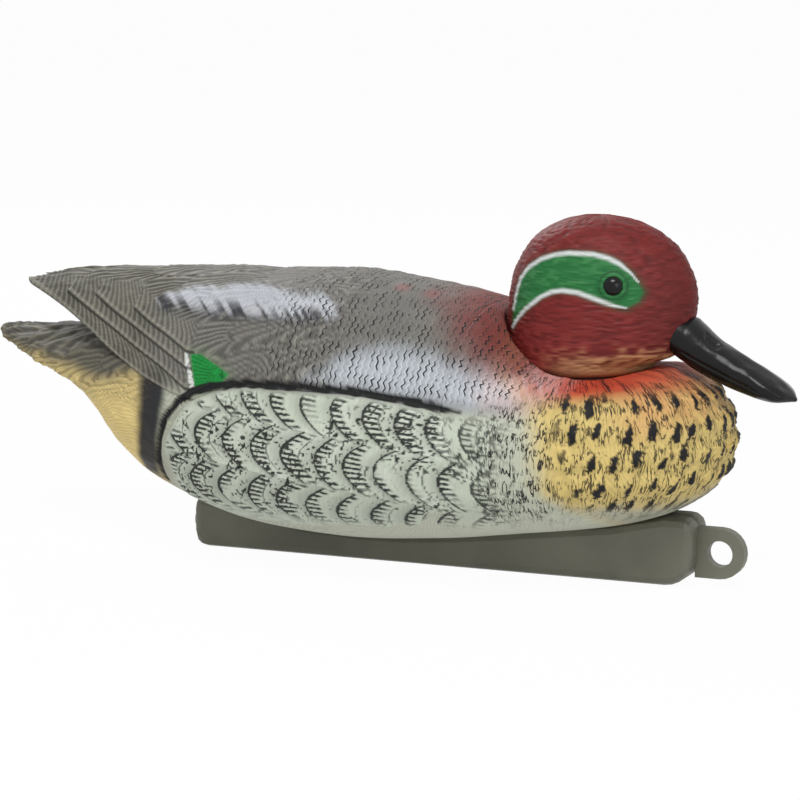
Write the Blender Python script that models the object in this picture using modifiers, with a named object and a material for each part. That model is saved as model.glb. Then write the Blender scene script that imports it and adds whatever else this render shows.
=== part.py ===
# Floating duck decoy: a hollow moulded body, a head that turns on a snap-fit neck, and a weighted keel.
# Metres, +Z up. The bill points along +X, and the keel stands on Z = 0.

import math

import bmesh
import bpy
import numpy as np
from mathutils import Matrix, Vector

MM = 0.001

# Fits
CLEARANCE = 0.3 * MM            # between pieces that touch
SWIVEL_GAP = 0.6 * MM           # round the neck and under the head, which turns

# Body
BODY_LENGTH = 294.7 * MM        # tail tip to breast
BODY_WIDTH = 128.0 * MM         # across the flank panels
BODY_DEPTH = 96.5 * MM          # belly to back
BODY_WALL = 2.5 * MM
WING_NOTCH = 16.0 * MM          # opening between the wing tips
NOTCH_ROOT = 1.5 * MM           # its width at the front end
NOTCH_LENGTH = 48.0 * MM
LUMP_HEIGHT = 1.6 * MM          # feather tips cast on the breast
LUMP_PITCH = 9.6 * MM           # between two tips of one row
LUMP_ROW = 9.4 * MM             # between two rows
LUMP_SPREAD = 3.4 * MM
LUMP_RADIUS = 60.0 * MM         # how the rows bend round the breast
LUMPS_BEHIND_BREAST = 48.0 * MM
LUMPS_LOW = 21.0 * MM           # rows from there to there above the belly
LUMPS_HIGH = 64.0 * MM
LUMP_FADE = 8.0 * MM
LUMP_FACET = 3.6 * MM           # longest facet where the tips are cast

# Neck seat, in the body
NECK_BEHIND_BREAST = 56.0 * MM  # neck axis from the body's front end
NECK_RADIUS = 27.2 * MM         # round foot of the head
SEAT_LEVEL = 0.669              # seat's height, as a share of the body's depth
SEAT_WALL = 3.0 * MM            # floor of the seat and wall behind the neck
COLLAR_DEPTH = 14.0 * MM        # collar that the spigot runs in
COLLAR_WALL = 3.0 * MM
SEAL_RADIUS = 20.5 * MM         # middle of the seal's ring
SEAL_WIDTH = 3.0 * MM
SEAL_DEPTH = 2.2 * MM           # how far the seal sits in the seat

# Head
HEAD_HEIGHT = 56.3 * MM         # foot to crown
HEAD_REACH = 43.3 * MM          # neck axis to forehead
EYE_SPAN = 46.0 * MM            # across the head at the eyes
HEAD_WALL = 3.0 * MM
SPIGOT_RADIUS = 15.0 * MM
SPIGOT_WALL = 2.4 * MM
SNAP_LIP = 1.2 * MM             # how far the spring fingers hook under the collar
SNAP_HEIGHT = 3.6 * MM
FINGER_SLOT = 2.0 * MM
FINGER_DEPTH = 13.0 * MM

# Eyes
EYE_DIAMETER = 6.4 * MM
EYE_PROUD = 1.7 * MM            # dome above its rim
EYE_SHANK = 4.0 * MM            # length in the socket
EYE_RISE = 33.4 * MM            # above the head's foot
EYE_FORWARD = 18.3 * MM         # ahead of the neck axis
EYELID = 2.6 * MM               # width of the moulded ring round the eye
EYELID_PROUD = 0.7 * MM

# Bill
BILL_LENGTH = 45.5 * MM
BILL_WIDTH = 20.0 * MM
BILL_DEPTH = 17.6 * MM          # at its base
BILL_RISE = 12.7 * MM           # middle of its base above the head's foot
BILL_DROOP = math.radians(25.5)
BILL_PLUG = 7.0 * MM            # length inside the head
BILL_SET_BACK = 3.3 * MM        # middle of its base behind the forehead
NOSTRIL = 3.4 * MM              # length before it is stretched
NOSTRIL_AHEAD = 9.1 * MM        # from the bill's base

# Keel
KEEL_DROP = 11.0 * MM           # keel's foot below the belly
KEEL_FROM_TAIL = 86.2 * MM      # its rear end from the tail tip
KEEL_WIDTH = 20.0 * MM
KEEL_FRONT_HEIGHT = 25.0 * MM
KEEL_BEHIND_BREAST = 10.5 * MM  # keel's lobes from the body's front end
KEEL_WALL = 2.2 * MM
KEEL_EDGE = 3.0 * MM            # rounded edges of the two lobes
KEEL_CREASE = 2.2 * MM          # depth of the crease between them
KEEL_FRONT_ROUND = 11.0 * MM
KEEL_CORNER_ROUND = 5.0 * MM
LUG_THICKNESS = 4.6 * MM
LUG_RADIUS = 9.2 * MM
LUG_REACH = 8.2 * MM            # line eye ahead of the lobes
LINE_EYE = 9.6 * MM
LINE_EYE_HEIGHT = 11.9 * MM
FILL_HOLE = 7.0 * MM
FILL_HEIGHT = 9.2 * MM
PLUG_HEAD = 10.4 * MM
PLUG_HEAD_THICKNESS = 1.6 * MM
PLUG_SHANK = 6.0 * MM
PLUG_BEVEL = 0.8 * MM

# Screws: one near each end of the keel and one halfway between them
SCREW_FROM_REAR = 22.0 * MM
SCREW_FROM_FRONT = 32.0 * MM
SCREW_DIAMETER = 4.0 * MM
SCREW_LENGTH = 16.0 * MM
SCREW_HEAD = 8.0 * MM
SCREW_HEAD_HEIGHT = 2.6 * MM
SCREW_HEAD_ROUND = 1.0 * MM
SCREW_POINT = 1.6 * MM          # across the blunt tip
SCREW_TAPER = 3.0 * MM
SCREW_GRIP = 3.6 * MM           # keel left above the well
WELL_WALL = 1.8 * MM
WELL_GAP = 0.5 * MM             # round the screw's head
WASHER_THICKNESS = 0.9 * MM
BOSS_WALL = 3.2 * MM

# Places that follow from the sizes
BILL_TIP_AHEAD = HEAD_REACH - BILL_SET_BACK + BILL_LENGTH * math.cos(BILL_DROOP)
TAIL_X = -(BODY_LENGTH - NECK_BEHIND_BREAST + BILL_TIP_AHEAD) / 2.0
BREAST_X = TAIL_X + BODY_LENGTH
NECK_X = BREAST_X - NECK_BEHIND_BREAST
KEEL_FRONT = BREAST_X - KEEL_BEHIND_BREAST
KEEL_REAR = TAIL_X + KEEL_FROM_TAIL
SEAT_Z = KEEL_DROP + SEAT_LEVEL * BODY_DEPTH
HEAD_FOOT = SWIVEL_GAP          # head's foot above the seat
POCKET_RADIUS = NECK_RADIUS + SWIVEL_GAP
BORE_RADIUS = SPIGOT_RADIUS + CLEARANCE
HOLE_RADIUS = SCREW_DIAMETER / 2.0 + CLEARANCE
WELL_RADIUS = SCREW_HEAD / 2.0 + WELL_GAP
TOWER_RADIUS = WELL_RADIUS + WELL_WALL
ABOVE_BACK = KEEL_DROP + BODY_DEPTH + HEAD_HEIGHT   # a height clear of the body

# Lines of the hull: share of the body's length from the tail, then share of its depth above the belly
CAVITY_REAR = 0.22              # where the hollow starts and ends
CAVITY_FRONT = 0.985
BELLY_LINE = ((0, 0.692), (0.028, 0.640), (0.086, 0.573), (0.133, 0.522), (0.165, 0.465), (0.190, 0.372),
              (0.218, 0.240), (0.255, 0.150), (0.300, 0.095), (0.360, 0.050), (0.449, 0.012), (0.544, 0),
              (0.662, 0.024), (0.768, 0.066), (0.873, 0.108), (0.927, 0.152), (0.968, 0.222), (0.991, 0.318),
              (1, 0.430))
BACK_LINE = ((0, 0.692), (0.014, 0.712), (0.109, 0.729), (0.187, 0.772), (0.255, 0.847), (0.333, 0.935),
             (0.420, 0.990), (0.500, 1), (0.612, 0.970), (0.676, 0.937), (0.707, 0.903), (0.754, 0.800),
             (0.808, 0.714), (0.859, 0.691), (0.917, 0.705), (0.951, 0.673), (0.976, 0.614), (0.993, 0.530),
             (1, 0.430))
WIDEST_LINE = ((0, 0.692), (0.035, 0.66), (0.109, 0.60), (0.177, 0.56), (0.272, 0.52), (0.408, 0.46),
               (0.578, 0.42), (0.747, 0.40), (0.883, 0.41), (1, 0.430))
# Half-widths: share of the body's length, then share of half its width
HULL_WIDTHS = ((0, 0), (0.014, 0.105), (0.041, 0.20), (0.082, 0.31), (0.130, 0.42), (0.177, 0.53),
               (0.221, 0.62), (0.272, 0.70), (0.333, 0.79), (0.408, 0.88), (0.510, 0.955), (0.595, 0.975),
               (0.679, 0.97), (0.747, 0.94), (0.815, 0.885), (0.876, 0.79), (0.924, 0.665), (0.961, 0.50),
               (0.985, 0.32), (1, 0))
FLANK_WIDTHS = ((0.30, 0.84), (0.408, 0.935), (0.510, 0.99), (0.585, 1), (0.673, 0.985), (0.740, 0.93),
                (0.82, 0.84))
WING_WIDTHS = ((0.04, 0.27), (0.075, 0.335), (0.130, 0.43), (0.187, 0.53), (0.238, 0.612), (0.289, 0.725),
               (0.340, 0.81), (0.391, 0.865), (0.442, 0.885), (0.527, 0.90))
WING_TOPS = ((0.04, 0.925), (0.075, 0.940), (0.130, 0.958), (0.221, 0.972), (0.340, 0.990), (0.442, 0.975),
             (0.527, 0.95))
WING_WIDEST = ((0.04, 0.80), (0.075, 0.78), (0.130, 0.72), (0.238, 0.583), (0.340, 0.482), (0.527, 0.45))
# How square the sections are: 2 is an ellipse
UPPER_FULLNESS = ((0, 1.6), (0.30, 1.9), (0.42, 2.25), (0.52, 2.15), (0.64, 2.0), (0.747, 2.2), (0.85, 2.7),
                  (0.93, 2.4), (1, 2.0))
LOWER_FULLNESS = ((0, 2.0), (0.28, 2.2), (0.4, 2.7), (0.75, 2.6), (1, 2.0))
# Side outlines of the flank panel and of the folded wings, as shares of length and depth
FLANK_OUTLINE = ((0.35, -0.1), (0.338, 0.10), (0.327, 0.24), (0.324, 0.33), (0.335, 0.45), (0.362, 0.55),
                 (0.405, 0.61), (0.45, 0.635), (0.53, 0.635), (0.59, 0.632), (0.65, 0.612), (0.73, 0.577),
                 (0.86, 0.53))
FLANK_SINK = 0.03               # flank skin's top below the back
WING_OUTLINE = ((0.56, 0.50), (0.34, 0.560), (0.282, 0.610), (0.238, 0.663), (0.177, 0.765), (0.126, 0.838),
                (0.080, 0.886), (0.058, 0.904), (0.052, 0.922), (0.062, 0.942), (0.10, 0.975))

# Lines of the head: share of its height, then size
HEAD_BACK = ((0, 0.865 * NECK_RADIUS), (0.026, 0.966 * NECK_RADIUS), (0.062, NECK_RADIUS),
             (0.37, NECK_RADIUS), (0.48, 0.988 * NECK_RADIUS), (0.586, 0.955 * NECK_RADIUS),
             (0.675, 0.890 * NECK_RADIUS), (0.80, 0.740 * NECK_RADIUS), (0.888, 0.560 * NECK_RADIUS),
             (0.959, 0.28 * NECK_RADIUS), (1, -0.25 * NECK_RADIUS))
HEAD_FRONT = ((0, 0.865 * NECK_RADIUS), (0.026, 0.966 * NECK_RADIUS), (0.062, 1.03 * NECK_RADIUS),
              (0.098, 0.75 * HEAD_REACH), (0.142, 0.855 * HEAD_REACH), (0.284, 0.947 * HEAD_REACH),
              (0.373, 0.982 * HEAD_REACH), (0.48, HEAD_REACH), (0.586, 0.984 * HEAD_REACH),
              (0.675, 0.938 * HEAD_REACH), (0.80, 0.84 * HEAD_REACH), (0.888, 0.702 * HEAD_REACH),
              (0.959, 0.508 * HEAD_REACH), (1, 0.25 * NECK_RADIUS))
HEAD_HALF_WIDTHS = ((0, 0.865 * NECK_RADIUS), (0.026, 0.966 * NECK_RADIUS), (0.062, NECK_RADIUS),
                    (0.14, 0.995 * NECK_RADIUS), (0.28, 0.955 * NECK_RADIUS), (0.586, 0.5 * EYE_SPAN),
                    (0.675, 0.475 * EYE_SPAN), (0.80, 0.42 * EYE_SPAN), (0.888, 0.345 * EYE_SPAN),
                    (0.959, 0.225 * EYE_SPAN), (1, 0))
HEAD_CENTRES = ((0, 0), (0.45, 0), (0.8, 0.15 * NECK_RADIUS), (1, 0.25 * NECK_RADIUS))
FACE_PINCH = 0.25               # how much the face narrows to the bill
HEAD_LAST = 0.97                # last sections before the crown, outside and inside
HEAD_HOLLOW_LAST = 0.84

# Lines of the bill: share of its length, then share of its half-width, its rise and its drop
BILL_WIDTHS = ((0, 0.95), (0.25, 0.87), (0.5, 0.84), (0.75, 0.93), (0.9, 0.78), (1, 0))
BILL_RISES = ((0, 1), (0.12, 0.81), (0.26, 0.64), (0.44, 0.54), (0.64, 0.48), (0.82, 0.38), (1, 0.05))
BILL_DROPS = ((0, 0.76), (0.12, 0.86), (0.28, 0.90), (0.46, 0.85), (0.64, 0.73), (0.82, 0.53), (1, 0.05))
BILL_FULLNESS = (2.4, 2.0)      # of its lower and upper halves
BILL_END = 0.985                # last section before the tip
BILL_PLUG_TAPER = 0.8           # how the plug narrows inside the head
NOSTRIL_STRETCH = (1.6, 0.7, 0.7)
NOSTRIL_OUT = 0.30              # share of the bill's width from its middle
NOSTRIL_UP = 0.28               # share of the bill's depth

# Facets
REAR_STATIONS = 20              # of the hull, tail to middle
FRONT_STATIONS = 24             # middle to breast
HULL_SIDES = 30
FLANK_STATIONS = 14
WING_STATIONS = 15
CAVITY_STATIONS = 18
CAVITY_SIDES = 18
HEAD_STATIONS = 18
HEAD_SIDES = 28
HEAD_HOLLOW_STATIONS = 10
HEAD_HOLLOW_SIDES = 20
BILL_STATIONS = 13
BILL_SIDES = 16
KEEL_STATIONS = 10
KEEL_END_STATIONS = (4, 6)      # round its rear and front ends
DOME_STATIONS = 5
NOSTRIL_SIDES = 12
POCKET_SIDES = 56
ROUND_SIDES = 40
RING_SIDES = 24
SMALL_SIDES = 20
SCREW_SIDES = 16
SHARP_ANGLE = math.radians(40.0)
MERGE_DISTANCE = 0.01 * MM


def start_scene():
    """Empties the scene and makes one collection for the parts and one for the tools that shape them."""
    for thing in list(bpy.data.objects):
        bpy.data.objects.remove(thing)
    collections = []
    for name in ("duck_decoy", "shaping_tools"):
        collection = bpy.data.collections.new(name)
        bpy.context.scene.collection.children.link(collection)
        collections.append(collection)
    return collections


def finish(name, colour, roughness, metallic=0.0, coat=0.0):
    """One moulded, rubber or metal finish."""
    material = bpy.data.materials.new(name)
    material.use_nodes = True
    shader = material.node_tree.nodes["Principled BSDF"]
    shader.inputs["Base Color"].default_value = (*colour, 1.0)
    shader.inputs["Roughness"].default_value = roughness
    shader.inputs["Metallic"].default_value = metallic
    shader.inputs["Coat Weight"].default_value = coat
    return material


def add_object(name, shape, parent=None):
    """Turns a bmesh into a smooth-shaded object in the parts' collection."""
    mesh = bpy.data.meshes.new(name)
    shape.to_mesh(mesh)
    shape.free()
    mesh.shade_smooth()
    mesh.set_sharp_from_angle(angle=SHARP_ANGLE)
    thing = bpy.data.objects.new(name, mesh)
    PARTS.objects.link(thing)
    thing.parent = parent
    return thing


def shape_with(target, tool, operation):
    """Cuts, joins or trims one solid by another, and puts the second away with the shaping tools."""
    step = target.modifiers.new(f"{operation} {tool.name}", "BOOLEAN")
    step.operation = operation
    step.solver = "EXACT"
    step.object = tool
    tool.hide_render = True
    tool.display_type = "WIRE"
    if tool.name in PARTS.objects:
        PARTS.objects.unlink(tool)
        TOOLS.objects.link(tool)


def curve_value(points, place):
    """Reads a smooth curve through (place, value) points, which never swings past them."""
    places, values = np.array(points, dtype=float).T
    slopes = np.diff(values) / np.diff(places)
    before, after = slopes[:-1], slopes[1:]
    turning = before * after <= 0.0
    inner = 2.0 * before * after / np.where(turning, 1.0, before + after)
    tangents = np.concatenate((slopes[:1], np.where(turning, 0.0, inner), slopes[-1:]))
    k = int(np.clip(np.searchsorted(places, place) - 1, 0, len(slopes) - 1))
    run = places[k + 1] - places[k]
    t = (place - places[k]) / run
    start = (1 + 2 * t) * (1 - t) ** 2 * values[k] + t * (1 - t) ** 2 * run * tangents[k]
    return start + t * t * (3 - 2 * t) * values[k + 1] + t * t * (t - 1) * run * tangents[k + 1]


def smooth_path(points, pieces):
    """Points along a smooth curve that passes through each given point, with so many pieces between two."""
    guide = np.array([points[0], *points, points[-1]], dtype=float)
    path = []
    for a, b, c, d in zip(guide, guide[1:], guide[2:], guide[3:]):
        for k in range(pieces):
            t = k / pieces
            path.append(b + 0.5 * t * (c - a + t * (2 * a - 5 * b + 4 * c - d + t * (3 * (b - c) + d - a))))
    path.append(guide[-1])
    return path


def swing(share):
    """Turns a share of a length into one that crowds towards both ends, so that both come out round."""
    return math.acos(min(max(1.0 - 2.0 * share, -1.0), 1.0)) / math.pi


def hull_value(points, share):
    """Reads one line of the hull at a share of the body's length."""
    return curve_value([(swing(place), value) for place, value in points], swing(share))


def loft(name, rings, first_tip=None, last_tip=None, parent=None):
    """Skins closed rings of points. Each end is a flat face, or runs to a tip."""
    shape = bmesh.new()
    rows = [[shape.verts.new(point) for point in ring] for ring in rings]
    count = len(rows[0])
    for row, following in zip(rows, rows[1:]):
        for k in range(count):
            n = (k + 1) % count
            shape.faces.new((row[k], row[n], following[n], following[k]))
    for row, tip in ((rows[0], first_tip), (rows[-1], last_tip)):
        if tip is None:
            shape.faces.new(row)
            continue
        point = shape.verts.new(tip)
        for k in range(count):
            shape.faces.new((row[k], row[(k + 1) % count], point))
    bmesh.ops.recalc_face_normals(shape, faces=shape.faces)
    return add_object(name, shape, parent)


def slab(name, outline, near, far, parent=None):
    """Extrudes a side outline of (x, z) points across the body, from y = near to y = far."""
    shape = bmesh.new()
    face = shape.faces.new([shape.verts.new((x, near, z)) for x, z in outline])
    grown = bmesh.ops.extrude_face_region(shape, geom=[face])
    moved = [item for item in grown["geom"] if isinstance(item, bmesh.types.BMVert)]
    bmesh.ops.translate(shape, verts=moved, vec=(0.0, far - near, 0.0))
    bmesh.ops.recalc_face_normals(shape, faces=shape.faces)
    return add_object(name, shape, parent)


def cylinder(name, radius, start, end, sides=ROUND_SIDES, parent=None):
    """A cylinder between the middles of its two ends, with a facet and not an edge on the middle plane."""
    axis = Vector(end) - Vector(start)
    shape = bmesh.new()
    bmesh.ops.create_cone(shape, cap_ends=True, segments=sides, radius1=radius, radius2=radius,
                          depth=axis.length)
    turn = axis.to_track_quat("Z", "Y").to_matrix().to_4x4()
    place = Matrix.Translation((Vector(start) + Vector(end)) / 2.0)
    half_facet = Matrix.Rotation(math.pi / sides, 4, "Z")
    bmesh.ops.transform(shape, matrix=place @ turn @ half_facet, verts=shape.verts)
    return add_object(name, shape, parent)


def upright(name, radius, x, low, high, sides=ROUND_SIDES):
    """A standing cylinder on the body's middle plane."""
    return cylinder(name, radius, (x, 0.0, low), (x, 0.0, high), sides)


def turned(name, profile, sides, closed=False, parent=None):
    """Turns a profile of (radius, height) points, listed down its outer side, about its own Z axis."""
    mesh = bpy.data.meshes.new(name)
    count = len(profile)
    edges = [(k, k + 1) for k in range(count - 1)]
    if closed:
        edges.append((count - 1, 0))
    mesh.from_pydata([(radius, 0.0, height) for radius, height in profile], edges, [])
    thing = bpy.data.objects.new(name, mesh)
    PARTS.objects.link(thing)
    thing.parent = parent
    spin = thing.modifiers.new("turn", "SCREW")
    spin.axis = "Z"
    spin.angle = 2.0 * math.pi
    spin.steps = sides
    spin.render_steps = sides
    spin.use_merge_vertices = True
    spin.merge_threshold = MERGE_DISTANCE
    spin.use_smooth_shade = True
    return thing


def ring_profile(inner, outer, low, high):
    """Square section of a ring, listed down its outer side and up its inner side."""
    return [(inner, high), (outer, high), (outer, low), (inner, low)]


def box_outline(half_length, low, high):
    """Corners of an upright rectangle, about x = 0."""
    return [(-half_length, low), (half_length, low), (half_length, high), (-half_length, high)]


def arc(centre, radius, start, end, pieces=6):
    """Points on an arc in the side view, between two angles in degrees."""
    points = []
    for k in range(pieces + 1):
        turn = math.radians(start + (end - start) * k / pieces)
        points.append((centre[0] + radius * math.cos(turn), centre[1] + radius * math.sin(turn)))
    return points


def oval_section(x, half_width, bottom, widest, top, sides, fullness):
    """One section across the body: a lower and an upper half-oval that meet at its widest height."""
    lower, upper = fullness
    half = []
    for k in range(sides // 2 + 1):
        turn = math.pi * k / (sides // 2)
        power = 2.0 / (lower if turn < math.pi / 2 else upper)
        reach = bottom if turn < math.pi / 2 else top
        out = half_width * max(math.sin(turn), 0.0) ** power
        half.append((x, out, widest + (reach - widest) * abs(math.cos(turn)) ** power))
    return half + [(x, -y, z) for x, y, z in half[-2:0:-1]]


def body_height(share):
    """Height at a share of the body's depth."""
    return KEEL_DROP + share * BODY_DEPTH


def belly_height(x):
    """Lowest line of the hull at a place along it."""
    return body_height(hull_value(BELLY_LINE, (x - TAIL_X) / BODY_LENGTH))


def screw_spots():
    """Each screw's name and its place along the keel."""
    rear = KEEL_REAR + SCREW_FROM_REAR
    front = KEEL_FRONT - SCREW_FROM_FRONT
    return [("rear", rear), ("middle", (rear + front) / 2.0), ("front", front)]


def well_floor(x):
    """Height of the face that a screw's washer bears on."""
    return belly_height(x) - CLEARANCE - SCREW_GRIP


def hull_section(share, sides, inset=0.0):
    """The hull's section at a share of its length, drawn in by an inset."""
    return oval_section(
        TAIL_X + share * BODY_LENGTH,
        hull_value(HULL_WIDTHS, share) * BODY_WIDTH / 2.0 - inset,
        body_height(hull_value(BELLY_LINE, share)) + inset,
        body_height(hull_value(WIDEST_LINE, share)),
        body_height(hull_value(BACK_LINE, share)) - inset,
        sides,
        (curve_value(LOWER_FULLNESS, share), curve_value(UPPER_FULLNESS, share)),
    )


def make_hull():
    """The plain hull with its breast and tail, without wings or flank panels."""
    rings = []
    rear = np.linspace(0.0, 0.5, REAR_STATIONS)[1:-1]
    front = np.linspace(0.5, 1.0, FRONT_STATIONS)[:-1]
    for place in (*rear, *front):
        share = (1.0 - math.cos(math.pi * place)) / 2.0
        rings.append(hull_section(share, HULL_SIDES))
    tail = (TAIL_X, 0.0, body_height(BELLY_LINE[0][1]))
    breast = (BREAST_X, 0.0, body_height(BELLY_LINE[-1][1]))
    hull = loft("body_shell", rings, tail, breast)
    raise_lumps(hull.data)
    return hull


def ramp(low, high, value):
    """Runs smoothly from 0 at low to 1 at high."""
    t = min(max((value - low) / (high - low), 0.0), 1.0)
    return t * t * (3.0 - 2.0 * t)


def lump_share(point):
    """How much of the lumps' height stands at a point of the breast: staggered rows of round tips."""
    rear = BREAST_X - LUMPS_BEHIND_BREAST
    low, high = KEEL_DROP + LUMPS_LOW, KEEL_DROP + LUMPS_HIGH
    reach = ramp(rear, rear + LUMP_FADE, point.x)
    reach *= ramp(low, low + LUMP_FADE, point.z) * ramp(high, high - LUMP_FADE, point.z)
    row = point.z / LUMP_ROW
    along = math.atan2(point.y, point.x - BREAST_X + LUMP_RADIUS) * LUMP_RADIUS / LUMP_PITCH
    along += 0.5 * (math.floor(row) % 2)
    beside = (along - math.floor(along) - 0.5) * LUMP_PITCH
    above = (row - math.floor(row) - 0.5) * LUMP_ROW
    return reach * math.exp(-(beside ** 2 + above ** 2) / LUMP_SPREAD ** 2)


def raise_lumps(mesh):
    """Casts feather tips on the breast, where the hull's facets are made finer first."""
    shape = bmesh.new()
    shape.from_mesh(mesh)
    rear = BREAST_X - LUMPS_BEHIND_BREAST
    low, high = KEEL_DROP + LUMPS_LOW, KEEL_DROP + LUMPS_HIGH
    for cuts in (2, 1):
        finer = []
        for edge in shape.edges:
            middle = (edge.verts[0].co + edge.verts[1].co) / 2.0
            if middle.x > rear and low < middle.z < high and edge.calc_length() > cuts * LUMP_FACET:
                finer.append(edge)
        bmesh.ops.subdivide_edges(shape, edges=finer, cuts=cuts, use_grid_fill=True)
    shape.normal_update()
    lifts = [vert.normal * LUMP_HEIGHT * lump_share(vert.co) for vert in shape.verts]
    for vert, lift in zip(shape.verts, lifts):
        vert.co += lift
    shape.to_mesh(mesh)
    shape.free()


def trimmed_skin(name, widths, tops, widest, outline, stations):
    """A skin that stands proud of the hull, trimmed across the body to a side outline."""
    rings = []
    for share in np.linspace(widths[0][0], widths[-1][0], stations):
        rings.append(oval_section(
            TAIL_X + share * BODY_LENGTH,
            curve_value(widths, share) * BODY_WIDTH / 2.0,
            body_height(hull_value(BELLY_LINE, share)) + BODY_WALL / 2.0,
            body_height(curve_value(widest, share)),
            body_height(curve_value(tops, share)),
            HULL_SIDES,
            (curve_value(LOWER_FULLNESS, share), curve_value(UPPER_FULLNESS, share)),
        ))
    skin = loft(name, rings)
    points = [(TAIL_X + along * BODY_LENGTH, body_height(up)) for along, up in outline]
    trim = slab(f"{name}_outline", points, -BODY_WIDTH, BODY_WIDTH)
    shape_with(skin, trim, "INTERSECT")
    return skin


def make_flanks():
    """The raised flank panels on both sides, round at the rear and run out into the breast."""
    edge = [tuple(point) for point in smooth_path(FLANK_OUTLINE, 2)]
    outline = edge + [(FLANK_OUTLINE[-1][0], FLANK_OUTLINE[0][1])]
    tops = [(share, height - FLANK_SINK) for share, height in BACK_LINE]
    return trimmed_skin("flank_skin", FLANK_WIDTHS, tops, WIDEST_LINE, outline, FLANK_STATIONS)


def make_wings():
    """The folded wings: a skin over the back that runs out behind into two free tips."""
    edge = [tuple(point) for point in smooth_path(WING_OUTLINE, 2)]
    clear = (ABOVE_BACK - KEEL_DROP) / BODY_DEPTH
    outline = edge + [(WING_OUTLINE[-1][0], clear), (WING_OUTLINE[0][0], clear)]
    wings = trimmed_skin("wing_skin", WING_WIDTHS, WING_TOPS, WING_WIDEST, outline, WING_STATIONS)
    rear = TAIL_X + WING_WIDTHS[0][0] * BODY_LENGTH - BODY_WALL
    front = rear + NOTCH_LENGTH
    plan = ((front, NOTCH_ROOT / 2.0), (rear, WING_NOTCH / 2.0), (rear, -WING_NOTCH / 2.0),
            (front, -NOTCH_ROOT / 2.0))
    levels = (KEEL_DROP, ABOVE_BACK)
    notch = loft("wing_notch", [[(x, y, z) for x, y in plan] for z in levels])
    shape_with(wings, notch, "DIFFERENCE")
    return wings


def make_cavity():
    """The hollow inside the body, with the neck's seat and collar and the screw bosses left standing."""
    rings = []
    for k in range(CAVITY_STATIONS + 1):
        along = (1.0 - math.cos(math.pi * k / CAVITY_STATIONS)) / 2.0
        share = CAVITY_REAR + (CAVITY_FRONT - CAVITY_REAR) * along
        rings.append(hull_section(share, CAVITY_SIDES, BODY_WALL))
    cavity = loft("body_hollow", rings)
    seat_floor = SEAT_Z - SEAL_DEPTH - SEAT_WALL
    seat = upright("seat_wall", POCKET_RADIUS + SEAT_WALL, NECK_X, seat_floor, ABOVE_BACK, POCKET_SIDES)
    collar = upright("collar_wall", BORE_RADIUS + COLLAR_WALL, NECK_X, SEAT_Z - COLLAR_DEPTH, ABOVE_BACK)
    shape_with(cavity, seat, "DIFFERENCE")
    shape_with(cavity, collar, "DIFFERENCE")
    radius = SCREW_DIAMETER / 2.0 + BOSS_WALL
    for place, x in screw_spots():
        floor = belly_height(x)
        top = floor + SCREW_LENGTH - SCREW_GRIP + BOSS_WALL
        boss = upright(f"boss_{place}", radius, x, floor - BODY_WALL, top, SCREW_SIDES)
        shape_with(cavity, boss, "DIFFERENCE")
    return cavity


def make_body(material):
    """The body moulding: hull, flanks and wings joined, then hollowed and cut for neck and screws."""
    body = make_hull()
    shape_with(body, make_flanks(), "UNION")
    shape_with(body, make_wings(), "UNION")
    shape_with(body, make_cavity(), "DIFFERENCE")
    pocket = upright("neck_pocket", POCKET_RADIUS, NECK_X, SEAT_Z, ABOVE_BACK, POCKET_SIDES)
    below = SEAT_Z - COLLAR_DEPTH - BODY_WALL
    bore = upright("neck_bore", BORE_RADIUS, NECK_X, below, ABOVE_BACK)
    groove = turned("seal_groove", ring_profile(
        SEAL_RADIUS - SEAL_WIDTH / 2.0 - CLEARANCE, SEAL_RADIUS + SEAL_WIDTH / 2.0 + CLEARANCE,
        -SEAL_DEPTH, SEAL_DEPTH,
    ), ROUND_SIDES, closed=True)
    groove.location = (NECK_X, 0.0, SEAT_Z)
    for tool in (pocket, bore, groove):
        shape_with(body, tool, "DIFFERENCE")
    for place, x in screw_spots():
        floor = belly_height(x)
        end = floor + SCREW_LENGTH - SCREW_GRIP + CLEARANCE
        hole = upright(f"screw_hole_{place}", HOLE_RADIUS, x, floor - BODY_WALL, end, SCREW_SIDES)
        shape_with(body, hole, "DIFFERENCE")
    body.data.materials.append(material)


def make_seal(material):
    """The rubber ring in the neck seat's groove."""
    inner = SEAL_RADIUS - SEAL_WIDTH / 2.0
    outer = SEAL_RADIUS + SEAL_WIDTH / 2.0
    low = -SEAL_DEPTH + CLEARANCE
    high = HEAD_FOOT - CLEARANCE
    seal = turned("neck_seal", ring_profile(inner, outer, low, high), ROUND_SIDES, closed=True)
    seal.location = (NECK_X, 0.0, SEAT_Z)
    seal.data.materials.append(material)


def rounded_top(share):
    """Crowds the head's sections towards its crown, which then comes out round."""
    return math.asin(min(share, 1.0)) * 2.0 / math.pi


def head_value(points, share):
    """Reads one line of the head at a share of its height."""
    return curve_value([(rounded_top(place), value) for place, value in points], rounded_top(share))


def head_point(share, turn, inset=0.0):
    """A point of the head's skin, from the neck axis at the seat: turn 0 faces forward."""
    centre = head_value(HEAD_CENTRES, share)
    front = head_value(HEAD_FRONT, share) - centre - inset
    back = head_value(HEAD_BACK, share) + centre - inset
    half_width = head_value(HEAD_HALF_WIDTHS, share) - inset
    ahead = math.cos(turn)
    narrowing = 1.0 - FACE_PINCH * max(ahead, 0.0) ** 2
    x = centre + (front if ahead > 0.0 else back) * ahead
    return Vector((x, half_width * math.sin(turn) * narrowing, HEAD_FOOT + share * HEAD_HEIGHT))


def head_rings(first, last, stations, sides, inset=0.0):
    """Level sections of the head between two shares of its height, closer together towards the crown."""
    rings = []
    for k in range(stations):
        share = math.sin(math.pi / 2.0 * (first + (last - first) * k / (stations - 1)))
        rings.append([head_point(share, 2.0 * math.pi * n / sides, inset) for n in range(sides)])
    return rings


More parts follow.
